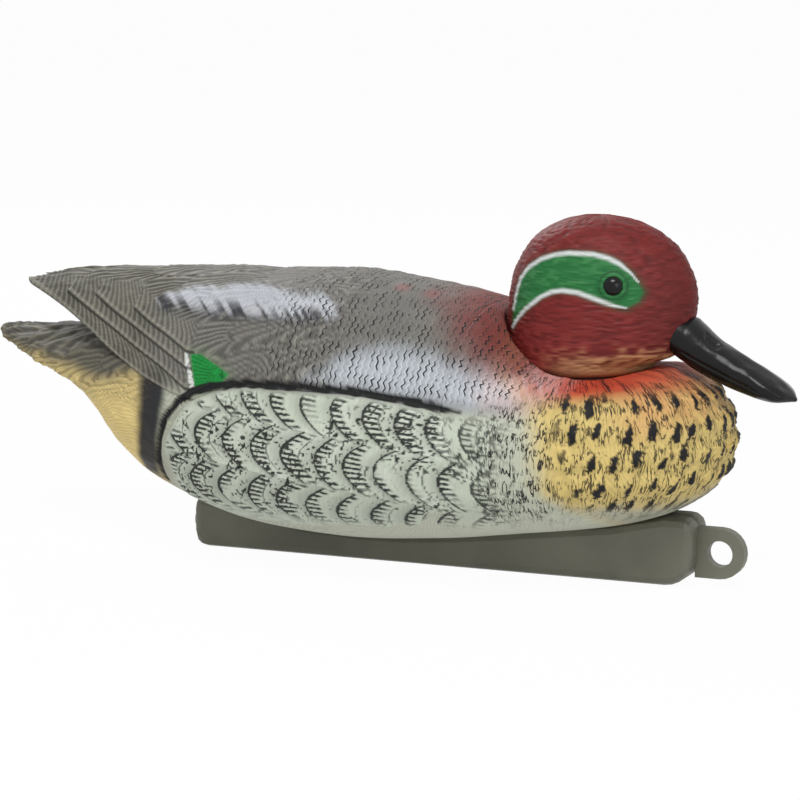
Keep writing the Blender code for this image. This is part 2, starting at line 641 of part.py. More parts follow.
def eye_frame(side):
    """Where an eye sits on the head, and the way that it faces."""
    share = EYE_RISE / HEAD_HEIGHT
    centre = head_value(HEAD_CENTRES, share)
    turn = side * math.acos((EYE_FORWARD - centre) / (head_value(HEAD_FRONT, share) - centre))
    spot = head_point(share, turn)
    step = 0.01
    along = head_point(share, turn + step) - head_point(share, turn - step)
    up = head_point(share + step, turn) - head_point(share - step, turn)
    facing = (along.cross(up)).normalized()
    return spot, facing


def make_head(material, pivot):
    """The head moulding: a round foot, a snap spigot, and sockets for the bill and the eyes."""
    crown = (HEAD_CENTRES[-1][1], 0.0, HEAD_FOOT + HEAD_HEIGHT)
    head = loft("head_shell", head_rings(0.0, HEAD_LAST, HEAD_STATIONS, HEAD_SIDES), None, crown, pivot)
    end = -COLLAR_DEPTH - CLEARANCE - SNAP_HEIGHT
    hook = SPIGOT_RADIUS + SNAP_LIP
    spigot = turned("spigot", [
        (0.0, HEAD_FOOT + HEAD_WALL), (SPIGOT_RADIUS, HEAD_FOOT + HEAD_WALL),
        (SPIGOT_RADIUS, end + SNAP_HEIGHT), (hook, end + SNAP_HEIGHT - CLEARANCE),
        (hook, end + SNAP_HEIGHT / 2.0), (SPIGOT_RADIUS - SNAP_LIP, end), (0.0, end),
    ], ROUND_SIDES, parent=pivot)
    shape_with(head, spigot, "UNION")
    for side, name in ((1.0, "left"), (-1.0, "right")):
        spot, facing = eye_frame(side)
        root, rim = spot - facing * EYE_SHANK, spot + facing * EYELID_PROUD
        lid = cylinder(f"eyelid_{name}", EYE_DIAMETER / 2.0 + EYELID, root, rim, RING_SIDES, pivot)
        shape_with(head, lid, "UNION")
    low = rounded_top(HEAD_WALL / HEAD_HEIGHT)
    inner = head_rings(low, HEAD_HOLLOW_LAST, HEAD_HOLLOW_STATIONS, HEAD_HOLLOW_SIDES, HEAD_WALL)
    shape_with(head, loft("head_hollow", inner, parent=pivot), "DIFFERENCE")
    low, high = (0.0, 0.0, end - HEAD_WALL), (0.0, 0.0, HEAD_FOOT + HEAD_HEIGHT / 2.0)
    bore = cylinder("spigot_bore", SPIGOT_RADIUS - SPIGOT_WALL, low, high, ROUND_SIDES, pivot)
    shape_with(head, bore, "DIFFERENCE")
    gap = box_outline(2.0 * hook, end - HEAD_WALL, end + FINGER_DEPTH)
    for name, turn in (("across", 0.0), ("along", math.pi / 2.0)):
        slot = slab(f"finger_slot_{name}", gap, -FINGER_SLOT / 2.0, FINGER_SLOT / 2.0, pivot)
        slot.rotation_euler.z = turn
        shape_with(head, slot, "DIFFERENCE")
    for side, name in ((1.0, "left"), (-1.0, "right")):
        spot, facing = eye_frame(side)
        root, mouth = spot - facing * EYE_SHANK, spot + facing * EYE_SHANK
        radius = EYE_DIAMETER / 2.0 + CLEARANCE
        socket = cylinder(f"eye_socket_{name}", radius, root, mouth, SMALL_SIDES, pivot)
        shape_with(head, socket, "DIFFERENCE")
    shape_with(head, bill_loft("bill_socket", CLEARANCE, pivot), "DIFFERENCE")
    head.data.materials.append(material)


def make_eye(side, name, material, pivot):
    """One domed eye on its shank."""
    radius = EYE_DIAMETER / 2.0
    dome = []
    for k in range(DOME_STATIONS + 1):
        turn = math.pi / 2.0 * k / DOME_STATIONS
        dome.append((radius * math.sin(turn), EYELID_PROUD + EYE_PROUD * math.cos(turn)))
    profile = dome + [(radius, CLEARANCE - EYE_SHANK), (0.0, CLEARANCE - EYE_SHANK)]
    eye = turned(f"eye_{name}", profile, SMALL_SIDES, parent=pivot)
    spot, facing = eye_frame(side)
    eye.location = spot
    eye.rotation_mode = "QUATERNION"
    eye.rotation_quaternion = facing.to_track_quat("Z", "Y")
    eye.data.materials.append(material)


def bill_loft(name, grown, parent):
    """The bill's form about its own axis, which slopes down from the head, grown by a clearance."""
    rings = []
    rear = -BILL_PLUG / BILL_LENGTH
    for k in range(BILL_STATIONS):
        share = rear + (BILL_END - rear) * math.sin(math.pi / 2.0 * k / (BILL_STATIONS - 1))
        along = share * BILL_LENGTH - (grown if k == 0 else 0.0)
        taper = min(1.0, 1.0 + share * BILL_PLUG_TAPER)
        half_width = taper * curve_value(BILL_WIDTHS, max(share, 0.0)) * BILL_WIDTH / 2.0 + grown
        rise = taper * curve_value(BILL_RISES, max(share, 0.0)) * BILL_DEPTH / 2.0 + grown
        drop = taper * curve_value(BILL_DROPS, max(share, 0.0)) * BILL_DEPTH / 2.0 + grown
        rings.append(oval_section(along, half_width, -drop, 0.0, rise, BILL_SIDES, BILL_FULLNESS))
    thing = loft(name, rings, None, (BILL_LENGTH + grown, 0.0, 0.0), parent)
    thing.location = (head_value(HEAD_FRONT, BILL_RISE / HEAD_HEIGHT), 0.0, HEAD_FOOT + BILL_RISE)
    thing.rotation_euler.y = BILL_DROOP
    return thing


def make_bill(material, pivot):
    """The bill, with its nostrils."""
    bill = bill_loft("bill", 0.0, pivot)
    for side, name in ((1.0, "left"), (-1.0, "right")):
        shape = bmesh.new()
        bmesh.ops.create_uvsphere(shape, u_segments=NOSTRIL_SIDES, v_segments=NOSTRIL_SIDES // 2,
                                  radius=NOSTRIL / 2.0)
        nostril = add_object(f"nostril_{name}", shape, bill)
        nostril.scale = NOSTRIL_STRETCH
        nostril.location = (NOSTRIL_AHEAD, side * NOSTRIL_OUT * BILL_WIDTH, NOSTRIL_UP * BILL_DEPTH)
        shape_with(bill, nostril, "DIFFERENCE")
    bill.data.materials.append(material)


def keel_top(x):
    """Top line of the keel: it follows the belly, then runs level to the front."""
    return min(KEEL_FRONT_HEIGHT, belly_height(x) - CLEARANCE)


def keel_outline(inset=0.0, sink=0.0):
    """Side outline of the keel, drawn in by an inset, with its top line sunk further."""
    rear, front, low = KEEL_REAR + inset, KEEL_FRONT - inset, inset
    corner = KEEL_CORNER_ROUND - inset
    nose = KEEL_FRONT_ROUND - inset
    rear_top = keel_top(KEEL_REAR + KEEL_CORNER_ROUND) - inset - sink
    front_top = keel_top(KEEL_FRONT) - inset - sink
    top = []
    for x in np.linspace(front - corner, rear + corner, KEEL_STATIONS)[1:-1]:
        top.append((x, keel_top(x) - inset - sink))
    return (arc((rear + corner, low + corner), corner, 180, 270)
            + arc((front - nose, low + nose), nose, 270, 360)
            + arc((front - corner, front_top - corner), corner, 0, 90)
            + top
            + arc((rear + corner, rear_top - corner), corner, 90, 180))


def end_inset(distance, radius):
    """How far a rounded end has drawn in, at a distance from that end."""
    left = max(radius - distance, 0.0)
    return radius - math.sqrt(radius * radius - left * left)


def keel_section(x):
    """One section across the keel: a flat foot and two rounded lobes with a crease between them."""
    from_rear, from_front = x - KEEL_REAR, KEEL_FRONT - x
    low = max(end_inset(from_rear, KEEL_CORNER_ROUND), end_inset(from_front, KEEL_FRONT_ROUND))
    top = keel_top(x) - end_inset(min(from_rear, from_front), KEEL_CORNER_ROUND)
    half = KEEL_WIDTH / 2.0 - end_inset(min(from_rear, from_front), KEEL_EDGE)
    foot = arc((half - KEEL_EDGE, low + KEEL_EDGE), KEEL_EDGE, -90, 0, 2)
    lobe = arc((half - KEEL_EDGE, top - KEEL_EDGE), KEEL_EDGE, 0, 90, 2)
    crease = arc((KEEL_CREASE, top - KEEL_CREASE), KEEL_CREASE, 90, 155, 2)
    side = [(0.0, low)] + foot + lobe + crease + [(0.0, top - KEEL_CREASE)]
    return [(x, y, z) for y, z in side] + [(x, -y, z) for y, z in side[-2:0:-1]]


def keel_stations():
    """Places of the keel's sections, closer together round its two ends."""
    ends = (KEEL_CORNER_ROUND, KEEL_FRONT_ROUND)
    turns = [[math.pi / 2.0 * k / count for k in range(count)] for count in KEEL_END_STATIONS]
    rear = [KEEL_REAR + ends[0] * (1.0 - math.cos(turn)) for turn in turns[0]]
    front = [KEEL_FRONT - ends[1] * (1.0 - math.cos(turn)) for turn in turns[1]]
    middle = list(np.linspace(KEEL_REAR + ends[0], KEEL_FRONT - ends[1], KEEL_STATIONS))
    return rear + middle + front[::-1]


def make_keel(material):
    """The keel moulding: two rounded lobes, a line eye at the front, screw wells and a fill hole."""
    half = KEEL_WIDTH / 2.0
    keel = loft("keel_shell", [keel_section(x) for x in keel_stations()])
    shape_with(keel, make_lug(), "UNION")
    hollow = slab("keel_hollow", keel_outline(KEEL_WALL, KEEL_CREASE), -half + KEEL_WALL, half - KEEL_WALL)
    for place, x in screw_spots():
        tower = upright(f"tower_{place}", TOWER_RADIUS, x, -KEEL_DROP, belly_height(x), SMALL_SIDES)
        shape_with(hollow, tower, "DIFFERENCE")
    shape_with(keel, hollow, "DIFFERENCE")
    for place, x in screw_spots():
        well = upright(f"well_{place}", WELL_RADIUS, x, -KEEL_DROP, well_floor(x), SMALL_SIDES)
        through = belly_height(x) + KEEL_WALL
        hole = upright(f"keel_hole_{place}", HOLE_RADIUS, x, -KEEL_DROP, through, SCREW_SIDES)
        shape_with(keel, well, "DIFFERENCE")
        shape_with(keel, hole, "DIFFERENCE")
    shape_with(keel, plug_space("fill_hole"), "DIFFERENCE")
    keel.data.materials.append(material)


def plug_space(name):
    """The room for the plug's shank, from behind the keel to past the shank's end."""
    start = (KEEL_REAR - KEEL_WALL, 0.0, FILL_HEIGHT)
    end = (KEEL_REAR + PLUG_SHANK + CLEARANCE, 0.0, FILL_HEIGHT)
    return cylinder(name, FILL_HOLE / 2.0, start, end, SMALL_SIDES)


def make_lug():
    """The plate at the keel's front end with the eye for a line."""
    x, z = KEEL_FRONT + LUG_REACH, LINE_EYE_HEIGHT
    root = KEEL_FRONT - KEEL_WALL / 2.0
    nose = arc((x, z), LUG_RADIUS, -90, 90, RING_SIDES // 2)
    outline = [(root, z - LUG_RADIUS)] + nose + [(root, z + LUG_RADIUS)]
    lug = slab("lug", outline, -LUG_THICKNESS / 2.0, LUG_THICKNESS / 2.0)
    hole = cylinder("line_eye", LINE_EYE / 2.0, (x, -LUG_THICKNESS, z), (x, LUG_THICKNESS, z), RING_SIDES)
    shape_with(lug, hole, "DIFFERENCE")
    return lug


def make_ballast(material):
    """The sand fill: the keel's hollow with the screw wells left out."""
    inset = KEEL_WALL + CLEARANCE
    half = KEEL_WIDTH / 2.0 - inset
    ballast = slab("keel_ballast", keel_outline(inset, KEEL_CREASE), -half, half)
    for place, x in screw_spots():
        radius = TOWER_RADIUS + CLEARANCE
        gap = upright(f"tower_space_{place}", radius, x, -KEEL_DROP, belly_height(x), SMALL_SIDES)
        shape_with(ballast, gap, "DIFFERENCE")
    shape_with(ballast, plug_space("plug_space"), "DIFFERENCE")
    ballast.data.materials.append(material)


def make_plug(material):
    """The plug in the keel's fill hole."""
    shank = FILL_HOLE / 2.0 - CLEARANCE
    head = PLUG_HEAD / 2.0
    top = CLEARANCE + PLUG_HEAD_THICKNESS
    plug = turned("keel_plug", [
        (0.0, top), (head - PLUG_BEVEL, top), (head, top - PLUG_BEVEL), (head, CLEARANCE),
        (shank, CLEARANCE), (shank, PLUG_BEVEL - PLUG_SHANK), (shank - PLUG_BEVEL, -PLUG_SHANK),
        (0.0, -PLUG_SHANK),
    ], SMALL_SIDES)
    plug.location = (KEEL_REAR, 0.0, FILL_HEIGHT)
    plug.rotation_euler.y = -math.pi / 2.0
    plug.data.materials.append(material)


def make_fasteners(material):
    """A pan-head screw and a washer in each of the keel's wells."""
    radius = SCREW_DIAMETER / 2.0
    head = SCREW_HEAD / 2.0
    bearing = -2.0 * CLEARANCE - WASHER_THICKNESS
    end = SCREW_HEAD_HEIGHT - bearing
    tip = SCREW_LENGTH - WASHER_THICKNESS - CLEARANCE * 2.0
    for place, x in screw_spots():
        screw = turned(f"keel_screw_{place}", [
            (0.0, tip), (SCREW_POINT / 2.0, tip), (radius, tip - SCREW_TAPER), (radius, bearing),
            (head, bearing), (head, SCREW_HEAD_ROUND - end), (head - SCREW_HEAD_ROUND, -end), (0.0, -end),
        ], SCREW_SIDES)
        washer = turned(f"screw_washer_{place}", ring_profile(
            radius + CLEARANCE, head + WELL_GAP / 2.0, -CLEARANCE - WASHER_THICKNESS, -CLEARANCE,
        ), SMALL_SIDES, closed=True)
        for piece in (screw, washer):
            piece.location = (x, 0.0, well_floor(x))
            piece.data.materials.append(material)


def make_decoy():
    """Builds every piece. The head's pieces hang on an empty on the neck's axis."""
    pivot = bpy.data.objects.new("head_pivot", None)
    PARTS.objects.link(pivot)
    pivot.location = (NECK_X, 0.0, SEAT_Z)
    rubber = finish("black_rubber", (0.02, 0.02, 0.02), 0.7)
    steel = finish("stainless_steel", (0.55, 0.55, 0.54), 0.35, metallic=1.0)
    make_body(finish("painted_body", (0.30, 0.31, 0.25), 0.6))
    make_seal(rubber)
    make_head(finish("painted_head", (0.15, 0.03, 0.025), 0.55), pivot)
    make_bill(finish("gloss_black_bill", (0.012, 0.012, 0.014), 0.22, coat=0.4), pivot)
    glass = finish("black_eye", (0.006, 0.006, 0.007), 0.06, coat=1.0)
    for side, name in ((1.0, "left"), (-1.0, "right")):
        make_eye(side, name, glass, pivot)
    make_keel(finish("olive_keel", (0.085, 0.083, 0.065), 0.6))
    make_ballast(finish("ballast_sand", (0.36, 0.29, 0.19), 0.95))
    make_plug(rubber)
    make_fasteners(steel)


PARTS, TOOLS = start_scene()
make_decoy()
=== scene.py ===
import math

import bpy
import numpy as np
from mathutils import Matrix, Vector


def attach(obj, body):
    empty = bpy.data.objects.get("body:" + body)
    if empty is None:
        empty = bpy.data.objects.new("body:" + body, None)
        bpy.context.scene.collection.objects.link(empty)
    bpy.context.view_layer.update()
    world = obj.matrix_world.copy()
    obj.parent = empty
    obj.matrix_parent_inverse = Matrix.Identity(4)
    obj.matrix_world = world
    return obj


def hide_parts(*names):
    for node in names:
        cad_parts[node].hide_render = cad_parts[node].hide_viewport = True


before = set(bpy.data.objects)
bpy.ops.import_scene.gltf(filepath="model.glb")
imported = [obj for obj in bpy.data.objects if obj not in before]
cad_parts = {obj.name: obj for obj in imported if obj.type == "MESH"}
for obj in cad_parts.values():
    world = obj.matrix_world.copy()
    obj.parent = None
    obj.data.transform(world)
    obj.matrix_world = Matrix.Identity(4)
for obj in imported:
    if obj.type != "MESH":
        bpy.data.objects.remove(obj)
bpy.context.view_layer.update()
mm = 0.001

# Shared arithmetic on whole arrays


def smooth(low, high, value):  # 0 below low, 1 above high, eased between
    t = np.clip((value - low) / (high - low), 0, 1)
    return t * t * (3 - 2 * t)


def curveAt(points, place):  # monotone cubic through (place, value) points
    places, values = np.array(points, float).T
    slopes = np.diff(values) / np.diff(places)
    before, after = slopes[:-1], slopes[1:]
    turning = before * after <= 0
    inner = np.where(turning, 0, 2 * before * after / np.where(turning, 1, before + after))
    tangents = np.concatenate((slopes[:1], inner, slopes[-1:]))
    k = np.clip(np.searchsorted(places, place) - 1, 0, len(slopes) - 1)
    run = places[k + 1] - places[k]
    t = np.clip((place - places[k]) / run, 0, 1)
    start = (1 + 2 * t) * (1 - t) ** 2 * values[k] + t * (1 - t) ** 2 * run * tangents[k]
    return start + t * t * (3 - 2 * t) * values[k + 1] + t * t * (t - 1) * run * tangents[k + 1]


def hash2(a, b):  # repeatable value from 0 to 1 for a pair of whole numbers
    return np.mod(np.sin(a * 127.1 + b * 311.7) * 43758.5453, 1.0)


def noise2(x, y):  # value noise: hashed lattice values, eased between
    ix, iy = np.floor(x), np.floor(y)
    fx, fy = smooth(0, 1, x - ix), smooth(0, 1, y - iy)
    low = hash2(ix, iy) * (1 - fx) + hash2(ix + 1, iy) * fx
    high = hash2(ix, iy + 1) * (1 - fx) + hash2(ix + 1, iy + 1) * fx
    return low * (1 - fy) + high * fy


def cloud(x, y):  # three octaves of value noise
    return (noise2(x, y) * 4 + noise2(x * 2.1 + 7, y * 2.1) * 2 + noise2(x * 4.3, y * 4.3 + 3)) / 7


def toLine(path, x, z):  # distance from each (x, z) to an open line of points
    nearest = np.full(np.shape(x), 1e9)
    for (ax, az), (bx, bz) in zip(path, path[1:]):
        ux, uz = bx - ax, bz - az
        t = np.clip(((x - ax) * ux + (z - az) * uz) / (ux * ux + uz * uz), 0, 1)
        nearest = np.minimum(nearest, np.hypot(x - ax - t * ux, z - az - t * uz))
    return nearest


def insideBy(outline, x, z):  # distance to a closed outline, positive inside
    ring = list(outline) + [outline[0]]
    crossings = np.zeros(np.shape(x), bool)
    for (ax, az), (bx, bz) in zip(ring, ring[1:]):
        if az != bz:
            crossings ^= ((az > z) != (bz > z)) & (x < (bx - ax) * (z - az) / (bz - az) + ax)
    return np.where(crossings, 1.0, -1.0) * toLine(ring, x, z)


def linear(*srgb):  # screen colour, 0 to 255, to linear light
    c = np.array(srgb, float) / 255
    return np.where(c < 0.04045, c / 12.92, ((c + 0.055) / 1.055) ** 2.4)


def primed(shape, colour):  # one flat colour all over
    return np.zeros(shape + (3,)) + linear(*colour)


def sprayed(paint, colours, *layers):  # sprays each layer's colour over the paint by its amount, 0 to 1
    for amount, key in layers:
        paint = paint + (linear(*colours[key]) - paint) * np.asarray(amount)[..., None]
    return paint


def normals(points):  # unit normals of a grid, from its two tangents
    a = np.gradient(points, axis=0)
    b = np.gradient(points, axis=1)
    n = np.cross(a, b)
    return n / np.maximum(np.linalg.norm(n, axis=-1, keepdims=True), 1e-12)


def ringNormals(points):  # the same for a grid closed along its second direction
    wide = np.concatenate((points[:, -2:], points, points[:, :2]), axis=1)
    return normals(wide)[:, 2:-2]


def raised(points, height):  # a closed grid moved along its normals, out from the middle of each ring
    n = ringNormals(points)
    facing = np.sign(((points - points.mean(1, keepdims=True)) * n).sum())
    return points + n * facing * height[..., None]


def added(name, data):  # a new object in the scene
    thing = bpy.data.objects.new(name, data)
    bpy.context.scene.collection.objects.link(thing)
    return thing


def gridPiece(name, points, paint, extras=None, firstTip=None, lastTip=None):
    # skins a (rows, columns, 3) grid in mm, closed along its columns, with each end run to one point
    rows, columns = points.shape[:2]
    start = points[0].mean(0) if firstTip is None else firstTip
    stop = points[-1].mean(0) if lastTip is None else lastTip
    vertices = np.concatenate((points.reshape(-1, 3), np.array([start, stop]))) * mm
    k = np.arange(rows * columns).reshape(rows, columns)
    n = np.roll(k, -1, axis=1)
    quads = np.stack((k[:-1], n[:-1], n[1:], k[1:]), -1).reshape(-1, 4)
    first, last = rows * columns, rows * columns + 1
    ends = np.concatenate((
        np.stack((n[0], k[0], np.full(columns, first)), -1),
        np.stack((k[-1], n[-1], np.full(columns, last)), -1),
    ))
    mesh = bpy.data.meshes.new(name)
    mesh.from_pydata(vertices.tolist(), [], quads.tolist() + ends.tolist())
    opaque = np.concatenate((paint, np.ones(paint.shape[:2] + (1,))), -1)
    fill = {"paint": ("FLOAT_COLOR", "color", 4, opaque)}
    for key, value in (extras or {}).items():
        fill[key] = ("FLOAT_VECTOR", "vector", 3, value)
    for key, (kind, field, width, value) in fill.items():
        flat = value.reshape(-1, width)
        flat = np.concatenate((flat, value[0].mean(0)[None], value[-1].mean(0)[None]))
        mesh.attributes.new(key, kind, "POINT").data.foreach_set(field, flat.astype(np.float32).ravel())
    mesh.shade_smooth()
    return added(name, mesh)


# Shader sums written as ordinary operators


class Wire:
    def __init__(self, tree, out=None):
        self.tree = tree
        self.out = out

    def node(self, kind, settings=None, inputs=None, out=0):  # any shader node
        made = self.tree.nodes.new(kind)
        for key, value in (settings or {}).items():
            setattr(made, key, value)
        for key, value in (inputs or {}).items():
            if isinstance(value, Wire):
                self.tree.links.new(value.out, made.inputs[key])
            else:
                made.inputs[key].default_value = value
        return Wire(self.tree, made.outputs[out])

    def math(self, operation, *values):
        return self.node("ShaderNodeMath", {"operation": operation}, dict(enumerate(values)))

    def __add__(self, other):
        return self.math("ADD", self, other)

    def __sub__(self, other):
        return self.math("SUBTRACT", self, other)

    def __mul__(self, other):
        return self.math("MULTIPLY", self, other)

    def __truediv__(self, other):
        return self.math("DIVIDE", self, other)

    def eased(self, low, high, start=0.0, end=1.0):
        return self.node("ShaderNodeMapRange", {"interpolation_type": "SMOOTHSTEP"},
                         {"Value": self, "From Min": low, "From Max": high, "To Min": start, "To Max": end})

    def mix(self, a, b):  # colour a where this is 0, b where it is 1
        return self.node("ShaderNodeMix", {"data_type": "RGBA"}, {0: self, 6: a, 7: b}, 2)

    def attribute(self, name, out=0):
        return self.node("ShaderNodeAttribute", {"attribute_name": name}, out=out)

    def parts(self):  # the three parts of a vector
        outputs = self.node("ShaderNodeSeparateXYZ", None, {0: self}).out.node.outputs
        return [Wire(self.tree, output) for output in outputs]

    def plane(self, across, along):  # a vector of two sums
        return self.node("ShaderNodeCombineXYZ", None, {0: across, 1: along})

    def noise(self, vector, scale, detail=2.0):
        return self.node("ShaderNodeTexNoise", None, {"Vector": vector, "Scale": scale, "Detail": detail})


def startMaterial(name, roughness, coat=0.0, coatRoughness=0.1, metallic=0.0, specular=0.5):
    material = bpy.data.materials.new(name)
    material.use_nodes = True
    shader = material.node_tree.nodes["Principled BSDF"]
    levels = {"Roughness": roughness, "Coat Weight": coat, "Coat Roughness": coatRoughness,
              "Metallic": metallic, "Specular IOR Level": specular}
    for key, value in levels.items():
        shader.inputs[key].default_value = value
    return material, shader, Wire(material.node_tree)


def connect(wire, shader, name):
    wire.tree.links.new(wire.out, shader.inputs[name])


def emboss(height, shader, strength, depth):  # bump of that depth in metres
    bump = height.node("ShaderNodeBump", None, {"Strength": strength, "Distance": depth, "Height": height})
    connect(bump, shader, "Normal")


def wear(piece, material, body, slot, *nodes):  # gives a piece its material and its body, and hides the CAD parts that it stands in for
    piece.data.materials.clear()
    piece.data.materials.append(material)
    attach(piece, body)
    if nodes:
        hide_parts(*nodes)


# Strokes of the painted feathers: lengths in mm, the bump's depth in metres, black in linear light

strokeSet = {
    "zigzagPitch": 2.3, "zigzagHalf": 1.35, "barbRate": 3.3, "bend": 9.0, "black": (0.012, 0.012, 0.014, 1.0),
    "drift": 0.11, "patch": 0.23, "grain": 1.4, "bump": 0.8, "depth": 0.0005,
}


def plumage(name, roughness):
    # the piece's own paint, with zigzag strokes, barbs and crackle drawn by its lay (mm)
    material, shader, w = startMaterial(name, roughness, specular=0.2)
    paint = w.attribute("paint")
    s, t, turn = w.attribute("lay", 1).parts()
    zigzag, barbs, crackle = w.attribute("marks", 1).parts()
    flat = w.plane(s, t)
    drift = w.noise(flat, strokeSet["drift"], 2.0)
    patch = w.noise(flat, strokeSet["patch"], 3.0)
    jag = w.math("PINGPONG", t + drift * 3.0, strokeSet["zigzagHalf"]) / strokeSet["zigzagHalf"]
    across = w.math("FRACT", s / strokeSet["zigzagPitch"] + jag * 0.36 + drift * 1.6) - 0.5
    stroke = w.math("ABSOLUTE", across).eased(0.06, 0.18, 1.0, 0.0)
    lit = w.math("ABSOLUTE", across - 0.24).eased(0.05, 0.2, 1.0, 0.0) * zigzag
    lines = stroke * patch.eased(0.42, 0.6) * zigzag
    slope = w.math("SINE", turn) * t + w.math("COSINE", turn) * s
    along = w.math("COSINE", turn) * t - w.math("SINE", turn) * s
    bent = slope + w.noise(flat, 0.09, 2.0) * strokeSet["bend"]
    barbWave = w.math("SINE", bent * strokeSet["barbRate"]) * 0.5 + 0.5
    strands = w.noise(w.plane(slope * 1.3, along * 0.16), 1.0, 3.0)
    crackNoise = w.noise(w.plane(s * 0.7, t * 0.15), 1.0, 3.0)
    cracks = w.math("ABSOLUTE", crackNoise - 0.5).eased(0.016, 0.05, 1.0, 0.0)
    cracks = cracks * patch.eased(0.42, 0.54) * crackle
    ink = w.math("MINIMUM", w.math("MAXIMUM", lines, cracks), 1.0)
    shade = (barbWave * 0.34 + strands * 0.66 - 0.5) * barbs
    value = shade * 1.5 + 1.0 + (drift - 0.5) * 0.18 + lit * 0.28
    tone = w.node("ShaderNodeHueSaturation", None, {"Color": paint, "Value": value})
    connect(ink.mix(tone, strokeSet["black"]), shader, "Base Color")
    connect(drift * 0.16 + (roughness - 0.08), shader, "Roughness")
    height = shade * 0.55 - ink * 0.5 - stroke * zigzag * 0.25 + w.noise(flat, strokeSet["grain"], 2.0) * 0.12
    emboss(height, shader, strokeSet["bump"], strokeSet["depth"])
    return material


# The body's lines, in shares of its length and depth

hull = {
    "length": 294.7, "width": 128.0, "depth": 96.5, "drop": 11.0, "tail": -159.884,
    "belly": ((0, 0.692), (0.028, 0.64), (0.086, 0.573), (0.133, 0.522), (0.165, 0.465), (0.19, 0.372),
              (0.218, 0.24), (0.255, 0.15), (0.3, 0.095), (0.36, 0.05), (0.449, 0.012), (0.544, 0),
              (0.662, 0.024), (0.768, 0.066), (0.873, 0.108), (0.927, 0.152), (0.968, 0.222), (0.991, 0.318),
              (1, 0.43)),
    "back": ((0, 0.692), (0.014, 0.712), (0.109, 0.729), (0.187, 0.772), (0.255, 0.847), (0.333, 0.935),
             (0.42, 0.99), (0.5, 1), (0.612, 0.97), (0.676, 0.937), (0.707, 0.903), (0.754, 0.8),
             (0.808, 0.714), (0.859, 0.691), (0.917, 0.705), (0.951, 0.673), (0.976, 0.614), (0.993, 0.53),
             (1, 0.43)),
    "widest": ((0, 0.692), (0.035, 0.66), (0.109, 0.6), (0.177, 0.56), (0.272, 0.52), (0.408, 0.46),
               (0.578, 0.42), (0.747, 0.4), (0.883, 0.41), (1, 0.43)),
    "widths": ((0, 0), (0.014, 0.105), (0.041, 0.2), (0.082, 0.31), (0.13, 0.42), (0.177, 0.53),
               (0.221, 0.62), (0.272, 0.7), (0.333, 0.79), (0.408, 0.88), (0.51, 0.955), (0.595, 0.975),
               (0.679, 0.97), (0.747, 0.94), (0.815, 0.885), (0.876, 0.79), (0.924, 0.665), (0.961, 0.5),
               (0.985, 0.32), (1, 0)),
    "upper": ((0, 1.6), (0.3, 1.9), (0.42, 2.25), (0.52, 2.15), (0.64, 2.0), (0.747, 2.2), (0.85, 2.7),
              (0.93, 2.4), (1, 2.0)),
    "lower": ((0, 2.0), (0.28, 2.2), (0.4, 2.7), (0.75, 2.6), (1, 2.0)),
    "split": 0.7, "rearRows": 330, "rearColumns": 286, "frontRows": 236, "frontColumns": 396,
    "neckX": 78.816, "seatZ": 75.558, "pocket": 27.8,
}


def turns(columns):  # one turn in equal steps, along the second direction
    return np.arange(columns)[None] * 2 * math.pi / columns


def swing(share):  # crowds a share towards both ends
    return np.arccos(np.clip(1 - 2 * share, -1, 1)) / math.pi


def hullLine(key, share):
    points = np.array(hull[key], float)
    return curveAt(np.stack((swing(points[:, 0]), points[:, 1]), -1), swing(share))


def alongAt(share):  # mm towards the bill at a share of the body's length
    return hull["tail"] + share * hull["length"]


def heightAt(share):  # mm above the keel's foot at a share of the body's depth
    return hull["drop"] + share * hull["depth"]


def ovalPoint(halfWidth, bottom, widest, top, lower, upper, turn):
    # two half-ovals that meet at the widest height
    low = turn < math.pi / 2
    power = 2 / np.where(low, lower, upper)
    reach = np.where(low, bottom, top)
    out = halfWidth * np.maximum(np.sin(turn), 0) ** power
    return out, widest + (reach - widest) * np.abs(np.cos(turn)) ** power


def hullGrid(shares, columns):  # sections of the hull at those shares, round from the belly up the left side
    share = shares[:, None]
    v = np.arange(columns) / columns
    turn = np.where(v < 0.5, v, 1 - v)[None] * 2 * math.pi
    side = np.where(v < 0.5, 1.0, -1.0)[None]
    y, z = ovalPoint(
        hullLine("widths", share) * hull["width"] / 2, heightAt(hullLine("belly", share)),
        heightAt(hullLine("widest", share)), heightAt(hullLine("back", share)),
        curveAt(hull["lower"], share), curveAt(hull["upper"], share), turn)
    x = alongAt(share) + 0 * turn
    return np.stack((x, y * side, z), -1), turn + 0 * share


# Flanks, in the hull's shares, and paint outlines seen from the side, in mm (x to the bill, z up)

flank = {
    "widths": ((0.3, 0.84), (0.408, 0.935), (0.51, 0.99), (0.585, 1), (0.673, 0.985), (0.74, 0.93),
               (0.82, 0.84)),
    "topEdge": ((0.3235, 0.33), (0.3265, 0.4), (0.335, 0.45), (0.362, 0.55), (0.405, 0.61), (0.45, 0.635),
                (0.53, 0.635), (0.59, 0.632), (0.65, 0.612), (0.73, 0.577), (0.86, 0.53)),
    "lowEdge": ((0.3235, 0.33), (0.327, 0.24), (0.338, 0.1), (0.35, -0.1), (0.36, -0.3)),
    "front": 0.8, "rows": 400, "columns": 170, "thick": 3.0, "rim": 1.8, "rimDrop": 3.2, "inkDrop": 0.28,
    "pitch": 12.0, "row": 19.0, "bulge": 0.72, "step": 0.8,
}
groovePath = ((-73.5, 30.0), (-72.2, 38.7), (-69.6, 47.2), (-65.8, 56.1), (-60.0, 62.7), (-52.0, 67.4),
              (-43.1, 70.2), (-28.9, 72.3), (-7.1, 72.5), (11.8, 72.2), (30.9, 70.5), (46.2, 68.3),
              (53.8, 67.1))
